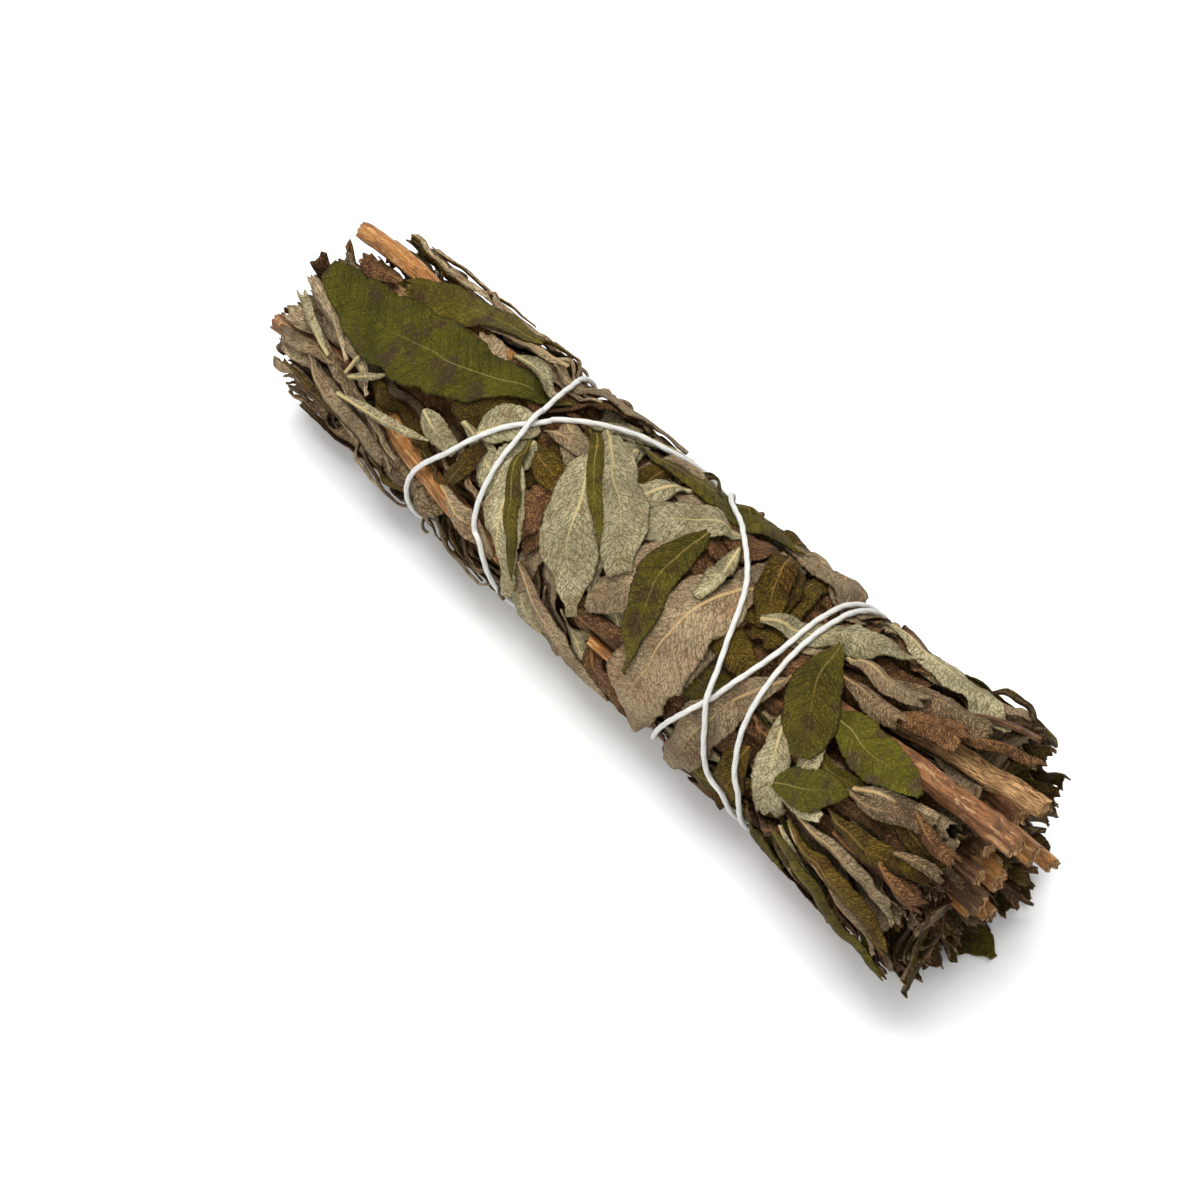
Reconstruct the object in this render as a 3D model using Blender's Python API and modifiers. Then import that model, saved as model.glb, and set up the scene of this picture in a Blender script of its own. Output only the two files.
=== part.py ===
"""A dried sage bunch, wound with cotton string and lying on its side.

The bunch lies along X, with its flared cut end at +X. Everything is laid out on the outer surface
of the bunch as (x, turn, depth): x runs along the bunch, turn is the angle round it in degrees,
from the top towards -Y, and depth is how far a point lies under the outer surface.

The pieces are laid from the outside in. The string comes first, then each leaf and stem goes
under those before it. A depth field keeps how deep the next piece has to lie at each place.
Lengths are in millimetres, and MM turns them into metres where a mesh is made.
"""

import math
import random

import bmesh
import bpy
import numpy as np

MM = 0.001

# The bunch: its radius at places along it, and how much of that radius is left under the axis,
# where its own weight has pressed it flat.
RADIUS_AT = ((-80, 16.6), (-60, 17.6), (0, 19.4), (45, 20.3), (62, 22.0), (84, 22.4))
FLATTENED = 0.94
LUMP = 0.018
GAP = 0.38

# The depth field: its extent along the bunch and its steps.
FIELD_START, FIELD_END = -92.0, 96.0
FIELD_STEP = 0.5
TURN_STEP = 2.0

# Leaves
LEAF_THICKNESS = 0.45
LEAF_ROWS = 8
LEAF_COLUMNS = 3
LEAF_MARGIN = 0.5
LEAF_TIP_SHARE = 0.16

# Stems
CORE_RADIUS = 10.6
CORE_STEM = 4.2
CORE_RING = 5.3
CORE_RING_STEMS = 5
OUTER_RING = 8.7
OUTER_RING_STEM = 3.0
STEM_BEND = 0.25
STEM_POINTS = 8
FAR_ENDS = (-77.0, -74.0, -78.0, -75.5, -79.0, -73.0)
CUT_ENDS = (76.0, 73.5, 78.0, 75.0, 72.0, 77.0)

# Pressed leaves between the core stems and the outer leaves
PACKS = 8
PACK_START, PACK_END = -71.0, 73.0
PACK_RAGGED = 4.0
PACK_ROWS = 20
PACK_COLUMNS = 4
PACK_LEAST = 0.6
PACK_TAPER = 0.65
PACK_TAPER_LENGTH = 20.0
PACK_TWIST = 0.16
PACK_REACH = 0.66

# String
STRING_DIAMETER = 1.2
STRING_DEPTH = 0.95
STRING_SPACING = 4.6
CROSSING_LIFT = 0.8
CROSSING_REACH = 3.0

# The string's route, one turn a row: (x, turn) from the near lower edge over the top to the far
# edge, and on round the back to the start of the next row.
STRING_ROUTE = (
    ((-21.3, 92), (-25.0, 72), (-26.4, 40), (-27.2, 10), (-30.0, -25), (-33.5, -60), (-38.5, -165)),
    ((-40.7, 90), (-35.4, 54), (-27.8, 12), (-22.7, -11), (-16.2, -33), (-8.0, -60), (5.0, -153)),
    ((17.9, 114), (22.0, 85), (28.6, 49), (32.0, 17), (31.6, -15), (31.4, -47), (35.0, -153)),
    ((39.6, 101), (37.6, 73), (35.6, 50), (34.2, 17), (33.4, -15), (33.0, -47), (34.4, -153)),
    ((36.5, 108), (32.4, 90), (29.2, 60), (25.4, 30), (19.7, 0), (9.6, -28), (0.6, -54)),
)
# The two ends cross at the knot, on the back, and run on past it as short tails.
LAST_TURN_TO_KNOT = ((-7.0, -125), (-10.0, -133), (-15.5, -137))
KNOT_TO_FIRST_TURN = ((1.0, 244), (-3.8, 240), (-7.0, 235), (-10.0, 207))
# Which turn lies over which where they cross. Turn -1 is the first tail.
CROSSINGS = ((0, 1), (4, 2), (1, 4), (3, 2), (-1, 4))

# Surface stems: x, turn, heading, length, diameter, how far they stand out of the surface.
SURFACE_STEMS = {
    "stem_top_reddish": (62.4, 14.0, -1.5, 38.8, 4.2, 0.8),
    "stem_top_split": (64.0, -13.0, -6.0, 28.6, 3.9, -0.8),
    "stem_near_edge": (-37.0, 78.0, 8.0, 36.0, 3.5, 0.0),
    "stem_far_top": (-61.0, -24.0, 178.0, 38.0, 3.7, 0.4),
}

# Leaves, the outermost first: x, turn, heading, length, width, sideways bow, and which finish
# shows. The heading is the way from the leaf's base to its tip, 0 along +X and 90 round towards
# the near side. Green is the upper side, felt the pale underside, dry an old brown leaf.
OUTER_LEAVES = (
    (-50.0, 180, 0, 34, 11.0, 0.0, "dry"),
    (3.0, 181, 180, 38, 11.5, 0.0, "green"),
    (61.0, 180, 0, 32, 11.5, 0.0, "felt"),
    (-51.3, -2, 164, 50, 12.6, 1.2, "green"),
    (56.0, 25, 6, 23, 8.0, 0.0, "green"),
    (51.0, 50, -31, 14, 6.6, 0.0, "green"),
    (42.0, 18, 62, 20, 9.4, 0.6, "green"),
    (36.6, -11, -33, 25, 6.4, -0.8, "felt"),
    (10.4, 32, 79, 27, 6.6, 0.6, "green"),
    (-6.4, 38, 54, 31, 11.2, 0.0, "felt"),
    (-7.8, 6, 38, 31, 8.8, 0.0, "felt"),
    (-19.7, 60, 64, 24, 9.2, 0.0, "felt"),
    (5.0, -5, 132, 18, 8.2, 0.5, "felt"),
    (17.0, 54, 97, 41, 11.4, 1.4, "felt"),
    (29.6, 66, 110, 36, 8.2, 0.8, "felt"),
    (6.3, 30, 110, 20, 7.6, 0.0, "felt"),
    (2.4, -34, -12, 33, 6.0, 0.0, "green"),
    (-24.0, -49, -30, 26, 5.4, 0.0, "felt"),
    (26.0, -43, 6, 24, 5.4, 0.0, "felt"),
    (57.0, -44, 4, 26, 5.4, 0.0, "felt"),
    (-52.0, -22, 152, 24, 8.6, 0.6, "green"),
    (66.0, 76, 11, 25, 5.0, 0.8, "green"),
    (63.0, 96, 22, 28, 6.0, 0.8, "green"),
    (66.0, 49, -6, 24, 5.0, 0.0, "green"),
    (-66.0, 42, 204, 22, 4.6, 1.0, "felt"),
    (-54.0, 78, 12, 40, 5.6, 0.0, "dry"),
    (-57.0, -52, 170, 42, 6.0, 0.6, "dry"),
    (60.0, -78, 4, 34, 9.0, 0.0, "green"),
    (18.0, -94, 158, 42, 10.5, 1.0, "felt"),
    (-24.0, -98, 22, 42, 10.5, 1.0, "green"),
    (-60.0, -98, 186, 32, 9.0, 0.0, "felt"),
    (40.0, -135, 12, 44, 10.5, 0.8, "dry"),
    (-8.0, -140, 196, 44, 10.5, 0.8, "felt"),
    (-50.0, -146, 8, 40, 10.0, 0.0, "green"),
    (-12.0, 136, 174, 44, 10.0, 0.8, "felt"),
    (42.0, 134, -8, 42, 10.0, 0.8, "dry"),
)

BUNCH_PARTS = "sage_bunch"

# Colour and roughness of each finish.
FINISHES = {
    "green": ((0.120, 0.135, 0.040), 0.75),
    "felt": ((0.360, 0.340, 0.240), 0.90),
    "dry": ((0.170, 0.110, 0.060), 0.85),
    "stem": ((0.400, 0.200, 0.090), 0.70),
    "string": ((0.800, 0.790, 0.760), 0.80),
}
SHARP_EDGE = 50.0


# ---- The bunch's own surface -------------------------------------------------------------------


def radius(x):
    places, radii = zip(*RADIUS_AT)
    return np.interp(x, places, radii)


def axis_height(x):
    return FLATTENED * radius(x)


def surface(x, turn):
    """Distance from the bunch's axis to its outer surface, flat where it lies on the ground."""
    angle = np.radians(turn)
    lumps = np.sin(2 * angle + x / 19) + np.sin(3 * angle - x / 27)
    round_part = radius(x) * (1 + LUMP * (lumps / 2 - 0.5))
    down = np.maximum(-np.cos(angle), 1e-3)
    return np.minimum(round_part, axis_height(x) / down)


def point(x, turn, depth):
    """The place in space of a point of the layout, in millimetres."""
    reach = surface(x, turn) - depth
    angle = np.radians(turn)
    return np.stack([x + 0 * reach, -reach * np.sin(angle), axis_height(x) + reach * np.cos(angle)], -1)


def layout(points):
    """(x, turn, depth) of points in space."""
    x, y = points[..., 0], points[..., 1]
    z = points[..., 2] - axis_height(x)
    turn = np.degrees(np.arctan2(-y, z))
    return x, turn, surface(x, turn) - np.hypot(y, z)


class DepthField:
    """How deep the next piece has to lie, at each place on the surface."""

    def __init__(self):
        self.columns = round(360 / TURN_STEP)
        rows = round((FIELD_END - FIELD_START) / FIELD_STEP) + 1
        self.depth = np.zeros((rows, self.columns))

    def cell(self, x, turn):
        row = np.round((np.asarray(x) - FIELD_START) / FIELD_STEP).astype(int)
        column = np.round(np.asarray(turn) / TURN_STEP).astype(int)
        return np.clip(row, 0, len(self.depth) - 1), column % self.columns

    def deepest(self, x, turn, reach):
        """The depth needed within reach of one place, in millimetres along the surface."""
        row, column = self.cell(x, turn)
        rows = math.ceil(reach / FIELD_STEP)
        columns = math.ceil(math.degrees(reach / float(radius(x))) / TURN_STEP)
        around = np.arange(column - columns, column + columns + 1) % self.columns
        return self.depth[max(row - rows, 0) : row + rows + 1, around].max()

    def lay(self, points, under):
        """Keeps what comes next clear of these points by the distance under."""
        x, turn, depth = layout(points.reshape(-1, 3))
        row, column = self.cell(x, turn)
        for row_shift in (-1, 0, 1):
            rows = np.clip(row + row_shift, 0, len(self.depth) - 1)
            for column_shift in (-1, 0, 1):
                columns = (column + column_shift) % self.columns
                np.maximum.at(self.depth, (rows, columns), depth + under)


# ---- Scene and materials -----------------------------------------------------------------------


def clear_scene():
    for obj in list(bpy.data.objects):
        bpy.data.objects.remove(obj)


def parts_collection():
    collection = bpy.data.collections.new(BUNCH_PARTS)
    bpy.context.scene.collection.children.link(collection)
    return collection


def material(name, finish):
    colour, roughness = FINISHES[finish]
    made = bpy.data.materials.new(name)
    made.use_nodes = True
    shader = made.node_tree.nodes["Principled BSDF"]
    shader.inputs["Base Color"].default_value = (*colour, 1.0)
    shader.inputs["Roughness"].default_value = roughness
    shader.inputs["Metallic"].default_value = 0.0
    return made


def add_object(name, data, collection, finish):
    obj = bpy.data.objects.new(name, data)
    obj.data.materials.append(material(name, finish))
    collection.objects.link(obj)
    return obj


def smooth(mesh):
    mesh.shade_smooth()
    mesh.set_sharp_from_angle(angle=math.radians(SHARP_EDGE))


def on_grid(vertex, rows, columns):
    """Row and column of a vertex of a flat grid from -1 to 1, columns counted from its +Y side."""
    return round((vertex.co.x + 1) / 2 * rows), round((1 - vertex.co.y) / 2 * columns)


# ---- Leaves ------------------------------------------------------------------------------------


def half_width(along, width):
    """Half the width of a leaf at a share of its length: narrow base, widest past the middle."""
    swell = math.sin(math.pi * min(max(along, 0.0), 1.0) ** 1.12) ** 0.72
    return width / 2 * max(swell, LEAF_TIP_SHARE)


def on_leaf(leaf, along, across):
    """(x, turn) of a place on a leaf, along it from 0 to 1 and across it from -1 to 1."""
    x, turn, heading, length, width, bow = leaf[:6]
    forward = (along - 0.5) * length
    sideways = across * half_width(along, width) + bow * (4 * along * (1 - along) - 0.5)
    cosine, sine = math.cos(math.radians(heading)), math.sin(math.radians(heading))
    place = x + forward * cosine - sideways * sine
    arc = forward * sine + sideways * cosine
    return place, turn + math.degrees(arc / float(radius(x)))


def settled(depth, passes=2):
    """Depths smoothed as a stiff leaf lies, and never raised above what they have to clear."""
    for _ in range(passes):
        padded = np.pad(depth, 1, mode="edge")
        mean = (padded[:-2, 1:-1] + padded[2:, 1:-1] + padded[1:-1, :-2] + padded[1:-1, 2:]) / 4
        depth = np.maximum(depth, mean)
    return depth


def finer(grid, times):
    """A grid of points with the points in between, on its flat facets."""
    rows = np.linspace(0, len(grid) - 1, (len(grid) - 1) * times + 1)
    low = np.minimum(rows.astype(int), len(grid) - 2)
    share = (rows - low)[:, None, None]
    return grid[low] * (1 - share) + grid[low + 1] * share


def widened(grid, margin):
    """A grid of points with one more row and column of points past each edge."""
    for _ in range(2):
        first = grid[:1] - grid[1:2]
        last = grid[-1:] - grid[-2:-1]
        first *= margin / np.maximum(np.linalg.norm(first, axis=-1, keepdims=True), margin)
        last *= margin / np.maximum(np.linalg.norm(last, axis=-1, keepdims=True), margin)
        grid = np.concatenate([grid[:1] + first, grid, grid[-1:] + last]).transpose(1, 0, 2)
    return grid


def dense(grid, times=6):
    return finer(finer(grid, times).transpose(1, 0, 2), times)


def add_leaf(name, leaf, field, collection):
    """A leaf: a grid bent to lie on the bunch under what is already there, with a thickness."""
    length, width, finish = leaf[3], leaf[4], leaf[6]
    reach = max(length / LEAF_ROWS, width / LEAF_COLUMNS)
    shape = (LEAF_ROWS + 1, LEAF_COLUMNS + 1)
    places = np.array(
        [
            [on_leaf(leaf, i / LEAF_ROWS, 2 * j / LEAF_COLUMNS - 1) for j in range(shape[1])]
            for i in range(shape[0])
        ]
    )
    depth = np.array([field.deepest(x, turn, reach) for x, turn in places.reshape(-1, 2)])
    depth = settled(depth.reshape(shape))
    grid = point(places[..., 0], places[..., 1], depth)

    built = bmesh.new()
    bmesh.ops.create_grid(built, x_segments=LEAF_ROWS, y_segments=LEAF_COLUMNS, size=1)
    for vertex in built.verts:
        vertex.co = grid[on_grid(vertex, LEAF_ROWS, LEAF_COLUMNS)] * MM
    mesh = bpy.data.meshes.new(name)
    built.to_mesh(mesh)
    built.free()
    smooth(mesh)

    obj = add_object(name, mesh, collection, finish)
    shell = obj.modifiers.new("thickness", "SOLIDIFY")
    shell.thickness = LEAF_THICKNESS * MM
    shell.offset = -1
    field.lay(dense(widened(grid, LEAF_MARGIN)), LEAF_THICKNESS + GAP)
    return obj


# ---- Stems and string --------------------------------------------------------------------------


def add_tube(name, points, diameter, collection, finish, roundness=1):
    """A round rod or cord through the points, with closed ends."""
    curve = bpy.data.curves.new(name, "CURVE")
    curve.dimensions = "3D"
    curve.bevel_depth = diameter / 2 * MM
    curve.bevel_resolution = roundness
    curve.use_fill_caps = True
    spline = curve.splines.new("POLY")
    spline.points.add(len(points) - 1)
    for target, place in zip(spline.points, points):
        target.co = (*(place * MM), 1.0)
    spline.use_smooth = True
    return add_object(name, curve, collection, finish)


def lay_tube(points, diameter, field):
    """Puts a tube's underside into the depth field."""
    fine = finer(points[:, None, :], 8)[:, 0, :]
    x, turn, depth = layout(fine)
    for share in np.linspace(-1.25, 1.25, 11):
        bulge = math.sqrt(max(1 - share * share, 0.0))
        shift = np.degrees(share * diameter / 2 / radius(x))
        for slide in (-diameter / 2, 0.0, diameter / 2):
            field.lay(point(x + slide * abs(share), turn + shift, depth), diameter / 2 * bulge + GAP)


def add_surface_stem(name, stem, field, collection):
    x, turn, heading, length, diameter, proud = stem
    leaf_like = (x, turn, heading, length, 0.0, 0.0)
    places = [on_leaf(leaf_like, i / (STEM_POINTS - 1), 0.0) for i in range(STEM_POINTS)]
    reach = max(length / (STEM_POINTS - 1), diameter / 2)
    depth = np.array([field.deepest(px, pturn, reach) for px, pturn in places])
    depth = settled(depth[:, None])[:, 0] + diameter / 2
    depth = np.maximum(depth - np.where(depth > diameter / 2, 0.0, proud), 0.0)
    points = np.array([point(px, pturn, d) for (px, pturn), d in zip(places, depth)])
    lay_tube(points, diameter, field)
    return add_tube(name, points, diameter, collection, "stem")


def add_core_stem(name, distance, turn, diameter, ends, collection):
    """A stem inside the bunch, with a slight bend of its own."""
    x = np.linspace(*ends, STEM_POINTS)
    angle = math.radians(turn)
    spread = distance * radius(x) / radius(0.0)
    bend = STEM_BEND * np.sin(x / 21 + turn)
    y = -(spread + bend) * math.sin(angle)
    z = axis_height(x) + (spread + bend) * math.cos(angle)
    return add_tube(name, np.stack([x, y, z], -1), diameter, collection, "stem")


def smooth_curve(points, spacing):
    """Points at even spacing along a Catmull-Rom curve through the given points."""
    points = np.asarray(points, float)
    padded = np.concatenate([2 * points[:1] - points[1:2], points, 2 * points[-1:] - points[-2:-1]])
    share = np.linspace(0, 1, 24, endpoint=False)[:, None]
    pieces = []
    for a, b, c, d in zip(padded, padded[1:], padded[2:], padded[3:]):
        cubic = (3 * (b - c) + d - a) * share**3 + (2 * a - 5 * b + 4 * c - d) * share**2
        pieces.append((cubic + (c - a) * share) / 2 + b)
    fine = np.concatenate([*pieces, points[-1:]])
    steps = np.hypot(np.diff(fine[:, 0]), np.radians(np.diff(fine[:, 1])) * radius(0.0))
    travelled = np.concatenate([[0], np.cumsum(steps)])
    count = round(travelled[-1] / spacing)
    wanted = np.linspace(0, travelled[-1], count + 1)
    return np.stack([np.interp(wanted, travelled, fine[:, k]) for k in range(2)], -1)


def crossing_bump(route, this_turn, other_turn):
    """How near each point of one turn is to its crossing with another turn, from 0 to 1."""
    turn_of = np.floor((180 - route[:, 1]) / 360)
    flat = np.stack([route[:, 0], np.radians(route[:, 1] % 360) * radius(0.0)], -1)
    own = np.flatnonzero(turn_of == this_turn)
    other = np.flatnonzero(turn_of == other_turn)
    apart = np.linalg.norm(flat[own][:, None] - flat[other][None], axis=-1)
    centre = flat[own[np.unravel_index(apart.argmin(), apart.shape)[0]]]
    distance = np.linalg.norm(flat - centre, axis=-1)
    return np.where(turn_of == this_turn, np.exp(-((distance / CROSSING_REACH) ** 2)), 0.0)


def string_route():
    """The whole string as (x, turn, depth), from one tail, five times round, to the other."""
    route = list(KNOT_TO_FIRST_TURN)
    for number, row in enumerate(STRING_ROUTE):
        route += [(x, turn - 360 * number) for x, turn in row]
    last = len(STRING_ROUTE) - 1
    route += [(x, turn - 360 * last) for x, turn in LAST_TURN_TO_KNOT]
    route = smooth_curve(route, STRING_SPACING)
    depth = np.full(len(route), STRING_DEPTH)
    for over, under in CROSSINGS:
        depth -= CROSSING_LIFT * crossing_bump(route, over, under)
        depth += CROSSING_LIFT * crossing_bump(route, under, over)
    return route[:, 0], route[:, 1], depth


def add_string(field, collection):
    x, turn, depth = string_route()
    points = point(x, turn, depth)
    lay_tube(points, STRING_DIAMETER, field)
    return add_tube("binding_string", points, STRING_DIAMETER, collection, "string", roundness=2)


# ---- Pressed leaves ----------------------------------------------------------------------------


def add_pack(name, number, field, collection, rng):
    """Pressed leaves filling one sector between the stems inside and the outer leaves."""
    half = 180 / PACKS - math.degrees(GAP / 2 / CORE_RADIUS)
    middle = 360 / PACKS * number
    start = PACK_START + rng.uniform(-PACK_RAGGED, PACK_RAGGED)
    end = PACK_END + rng.uniform(-PACK_RAGGED, PACK_RAGGED)
    xs = np.linspace(start, end, PACK_ROWS + 1)
    to_end = np.minimum(xs - start, end - xs)
    narrowed = 1 - PACK_TAPER * np.clip(1 - to_end / PACK_TAPER_LENGTH, 0, 1) ** 2
    x_grid, across = np.meshgrid(xs, np.linspace(-1, 1, PACK_COLUMNS + 1), indexing="ij")
    turn_grid = middle + half * across * narrowed[:, None] + PACK_TWIST * x_grid
    reach = PACK_REACH * max(xs[1] - xs[0], math.radians(2 * half / PACK_COLUMNS) * radius(0.0))
    depth = [field.deepest(x, turn, reach) for x, turn in zip(x_grid.flat, turn_grid.flat)]
    depth = np.reshape(depth, x_grid.shape)
    outer = point(x_grid, turn_grid, depth)
    core = (CORE_RADIUS + GAP) * radius(x_grid) / radius(0.0)
    thickness = surface(x_grid, turn_grid) - depth - core
    inner = point(x_grid, turn_grid, depth + np.maximum(thickness, PACK_LEAST))

    built = bmesh.new()
    bmesh.ops.create_grid(built, x_segments=PACK_ROWS, y_segments=PACK_COLUMNS, size=1)
    made = bmesh.ops.extrude_face_region(built, geom=built.faces[:], use_keep_orig=True)
    for element in made["geom"]:
        if isinstance(element, bmesh.types.BMVert):
            element.co.z = -1
    for vertex in built.verts:
        grid = inner if vertex.co.z < 0 else outer
        vertex.co = grid[on_grid(vertex, PACK_ROWS, PACK_COLUMNS)] * MM
    bmesh.ops.recalc_face_normals(built, faces=built.faces[:])
    mesh = bpy.data.meshes.new(name)
    built.to_mesh(mesh)
    built.free()
    smooth(mesh)
    return add_object(name, mesh, collection, "dry")


# ---- The whole bunch ---------------------------------------------------------------------------


def stand_on_origin(collection):
    """Moves the bunch so that the middle of its underside is at the origin."""
    bpy.context.view_layer.update()
    graph = bpy.context.evaluated_depsgraph_get()
    corners = []
    for obj in collection.objects:
        made = obj.evaluated_get(graph)
        mesh = made.to_mesh()
        corners += [vertex.co.copy() for vertex in mesh.vertices]
        made.to_mesh_clear()
    corners = np.array(corners)
    low, high = corners.min(axis=0), corners.max(axis=0)
    for obj in collection.objects:
        obj.location = (-(low[0] + high[0]) / 2, -(low[1] + high[1]) / 2, -low[2])


def main():
    clear_scene()
    collection = parts_collection()
    field = DepthField()
    rng = random.Random(7)
    add_string(field, collection)
    for name, stem in SURFACE_STEMS.items():
        add_surface_stem(name, stem, field, collection)
    for number, leaf in enumerate(OUTER_LEAVES, 1):
        add_leaf(f"leaf_{number:02}", leaf, field, collection)
    for number in range(PACKS):
        add_pack(f"pressed_leaves_{number + 1}", number, field, collection, rng)
    add_core_stem("stem_core_1", 0.0, 0.0, CORE_STEM, (FAR_ENDS[0], CUT_ENDS[0]), collection)
    for number in range(CORE_RING_STEMS):
        turn = 360 / CORE_RING_STEMS * number
        ends = (FAR_ENDS[number + 1], CUT_ENDS[number + 1])
        add_core_stem(f"stem_core_{number + 2}", CORE_RING, turn, CORE_STEM, ends, collection)
        turn += 180 / CORE_RING_STEMS
        ends = (FAR_ENDS[-number - 1], CUT_ENDS[-number - 1])
        name = f"stem_core_{number + 2 + CORE_RING_STEMS}"
        add_core_stem(name, OUTER_RING, turn, OUTER_RING_STEM, ends, collection)
    stand_on_origin(collection)


main()
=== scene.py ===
import math
import random

import bpy
import numpy as np
from mathutils import Matrix, Vector


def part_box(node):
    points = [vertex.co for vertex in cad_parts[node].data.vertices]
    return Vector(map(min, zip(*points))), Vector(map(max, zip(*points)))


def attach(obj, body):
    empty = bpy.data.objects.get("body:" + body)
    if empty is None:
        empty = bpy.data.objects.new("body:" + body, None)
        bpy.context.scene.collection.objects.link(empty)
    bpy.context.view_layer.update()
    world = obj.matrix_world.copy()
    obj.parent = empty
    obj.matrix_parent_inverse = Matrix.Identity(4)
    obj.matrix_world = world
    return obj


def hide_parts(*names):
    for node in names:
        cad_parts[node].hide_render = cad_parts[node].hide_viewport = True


# The dried sage bunch in full detail. Everything is laid out on the bunch's own outer surface, as
# (x, turn, depth): x runs along the bunch, turn is the angle round it in degrees, from the top
# towards -Y, and depth is how far a point lies under the surface. The pieces are laid from the
# outside in, each one under those before it. Lengths here are in millimetres.

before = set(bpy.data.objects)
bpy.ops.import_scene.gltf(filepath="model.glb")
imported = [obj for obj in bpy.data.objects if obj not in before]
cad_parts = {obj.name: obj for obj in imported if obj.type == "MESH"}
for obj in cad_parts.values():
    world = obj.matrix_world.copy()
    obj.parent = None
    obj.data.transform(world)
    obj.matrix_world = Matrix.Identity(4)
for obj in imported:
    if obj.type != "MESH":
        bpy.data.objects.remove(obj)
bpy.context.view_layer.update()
rng = random.Random(11)

MM = 0.001

# The bunch's surface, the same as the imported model's.
RADIUS_AT = ((-80, 16.6), (-60, 17.6), (0, 19.4), (45, 20.3), (62, 22.0), (84, 22.4))
FLATTENED = 0.94
LUMP = 0.018
CORE_RADIUS = 10.6

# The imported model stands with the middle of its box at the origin. The stem in the middle of the
# bunch, which starts at this x in the layout, says where the layout's own origin is.
MIDDLE_STEM_START = -77.0
middle_low, middle_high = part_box("stem_core_1")
ORIGIN = np.array([middle_low.x / MM - MIDDLE_STEM_START, (middle_low.y + middle_high.y) / 2 / MM, 0.0])

# The depth field: its extent along the bunch, its steps, and how far a leaf may stand proud.
FIELD_START, FIELD_END = -92.0, 98.0
FIELD_STEP = 0.4
TURN_STEP = 1.25
MOST_PROUD = 3.0
GROUND_TURNS = 62.0
GAP = 0.1

# ---- Layout ----


def radius(x):
    places, radii = zip(*RADIUS_AT)
    return np.interp(x, places, radii)


def axis_height(x):
    return FLATTENED * radius(x)


def surface(x, turn):
    """Distance from the bunch's axis to its outer surface, flat where it lies on the ground."""
    angle = np.radians(turn)
    lumps = np.sin(2 * angle + x / 19) + np.sin(3 * angle - x / 27)
    round_part = radius(x) * (1 + LUMP * (lumps / 2 - 0.5))
    down = np.maximum(-np.cos(angle), 1e-3)
    return np.minimum(round_part, axis_height(x) / down)


def point(x, turn, depth):
    """Places in space, in millimetres, of points of the layout."""
    reach = surface(x, turn) - depth
    angle = np.radians(turn)
    height = axis_height(x) + reach * np.cos(angle)
    return np.stack([x + 0 * reach, -reach * np.sin(angle), height], -1) + ORIGIN


class DepthField:
    """How deep the next piece has to lie, at each place on the surface."""

    def __init__(self):
        self.columns = round(360 / TURN_STEP)
        rows = round((FIELD_END - FIELD_START) / FIELD_STEP) + 1
        self.depth = np.full((rows, self.columns), -MOST_PROUD)
        turns = np.arange(self.columns) * TURN_STEP
        self.depth[:, np.abs(turns - 180) < GROUND_TURNS] = 0.0

    def around(self, x, turn, cells):
        """The cell of each place, and its neighbours up to so many cells away, one shift at a time."""
        row = np.round((x - FIELD_START) / FIELD_STEP).astype(int)
        column = np.round(turn / TURN_STEP).astype(int)
        for row_shift in range(-cells, cells + 1):
            rows = np.clip(row + row_shift, 0, len(self.depth) - 1)
            for column_shift in range(-cells, cells + 1):
                yield rows, (column + column_shift) % self.columns

    def needed(self, x, turn, cells=1):
        """The depth needed at each place and in the cells around it."""
        found = np.full(np.shape(x), -MOST_PROUD)
        for place in self.around(x, turn, cells):
            found = np.maximum(found, self.depth[place])
        return found

    def lay(self, x, turn, depth):
        """Keeps what comes next at least this deep, round each of these places."""
        for place in self.around(x, turn, 1):
            np.maximum.at(self.depth, place, depth)


field = DepthField()

# ---- Node materials ----


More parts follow.
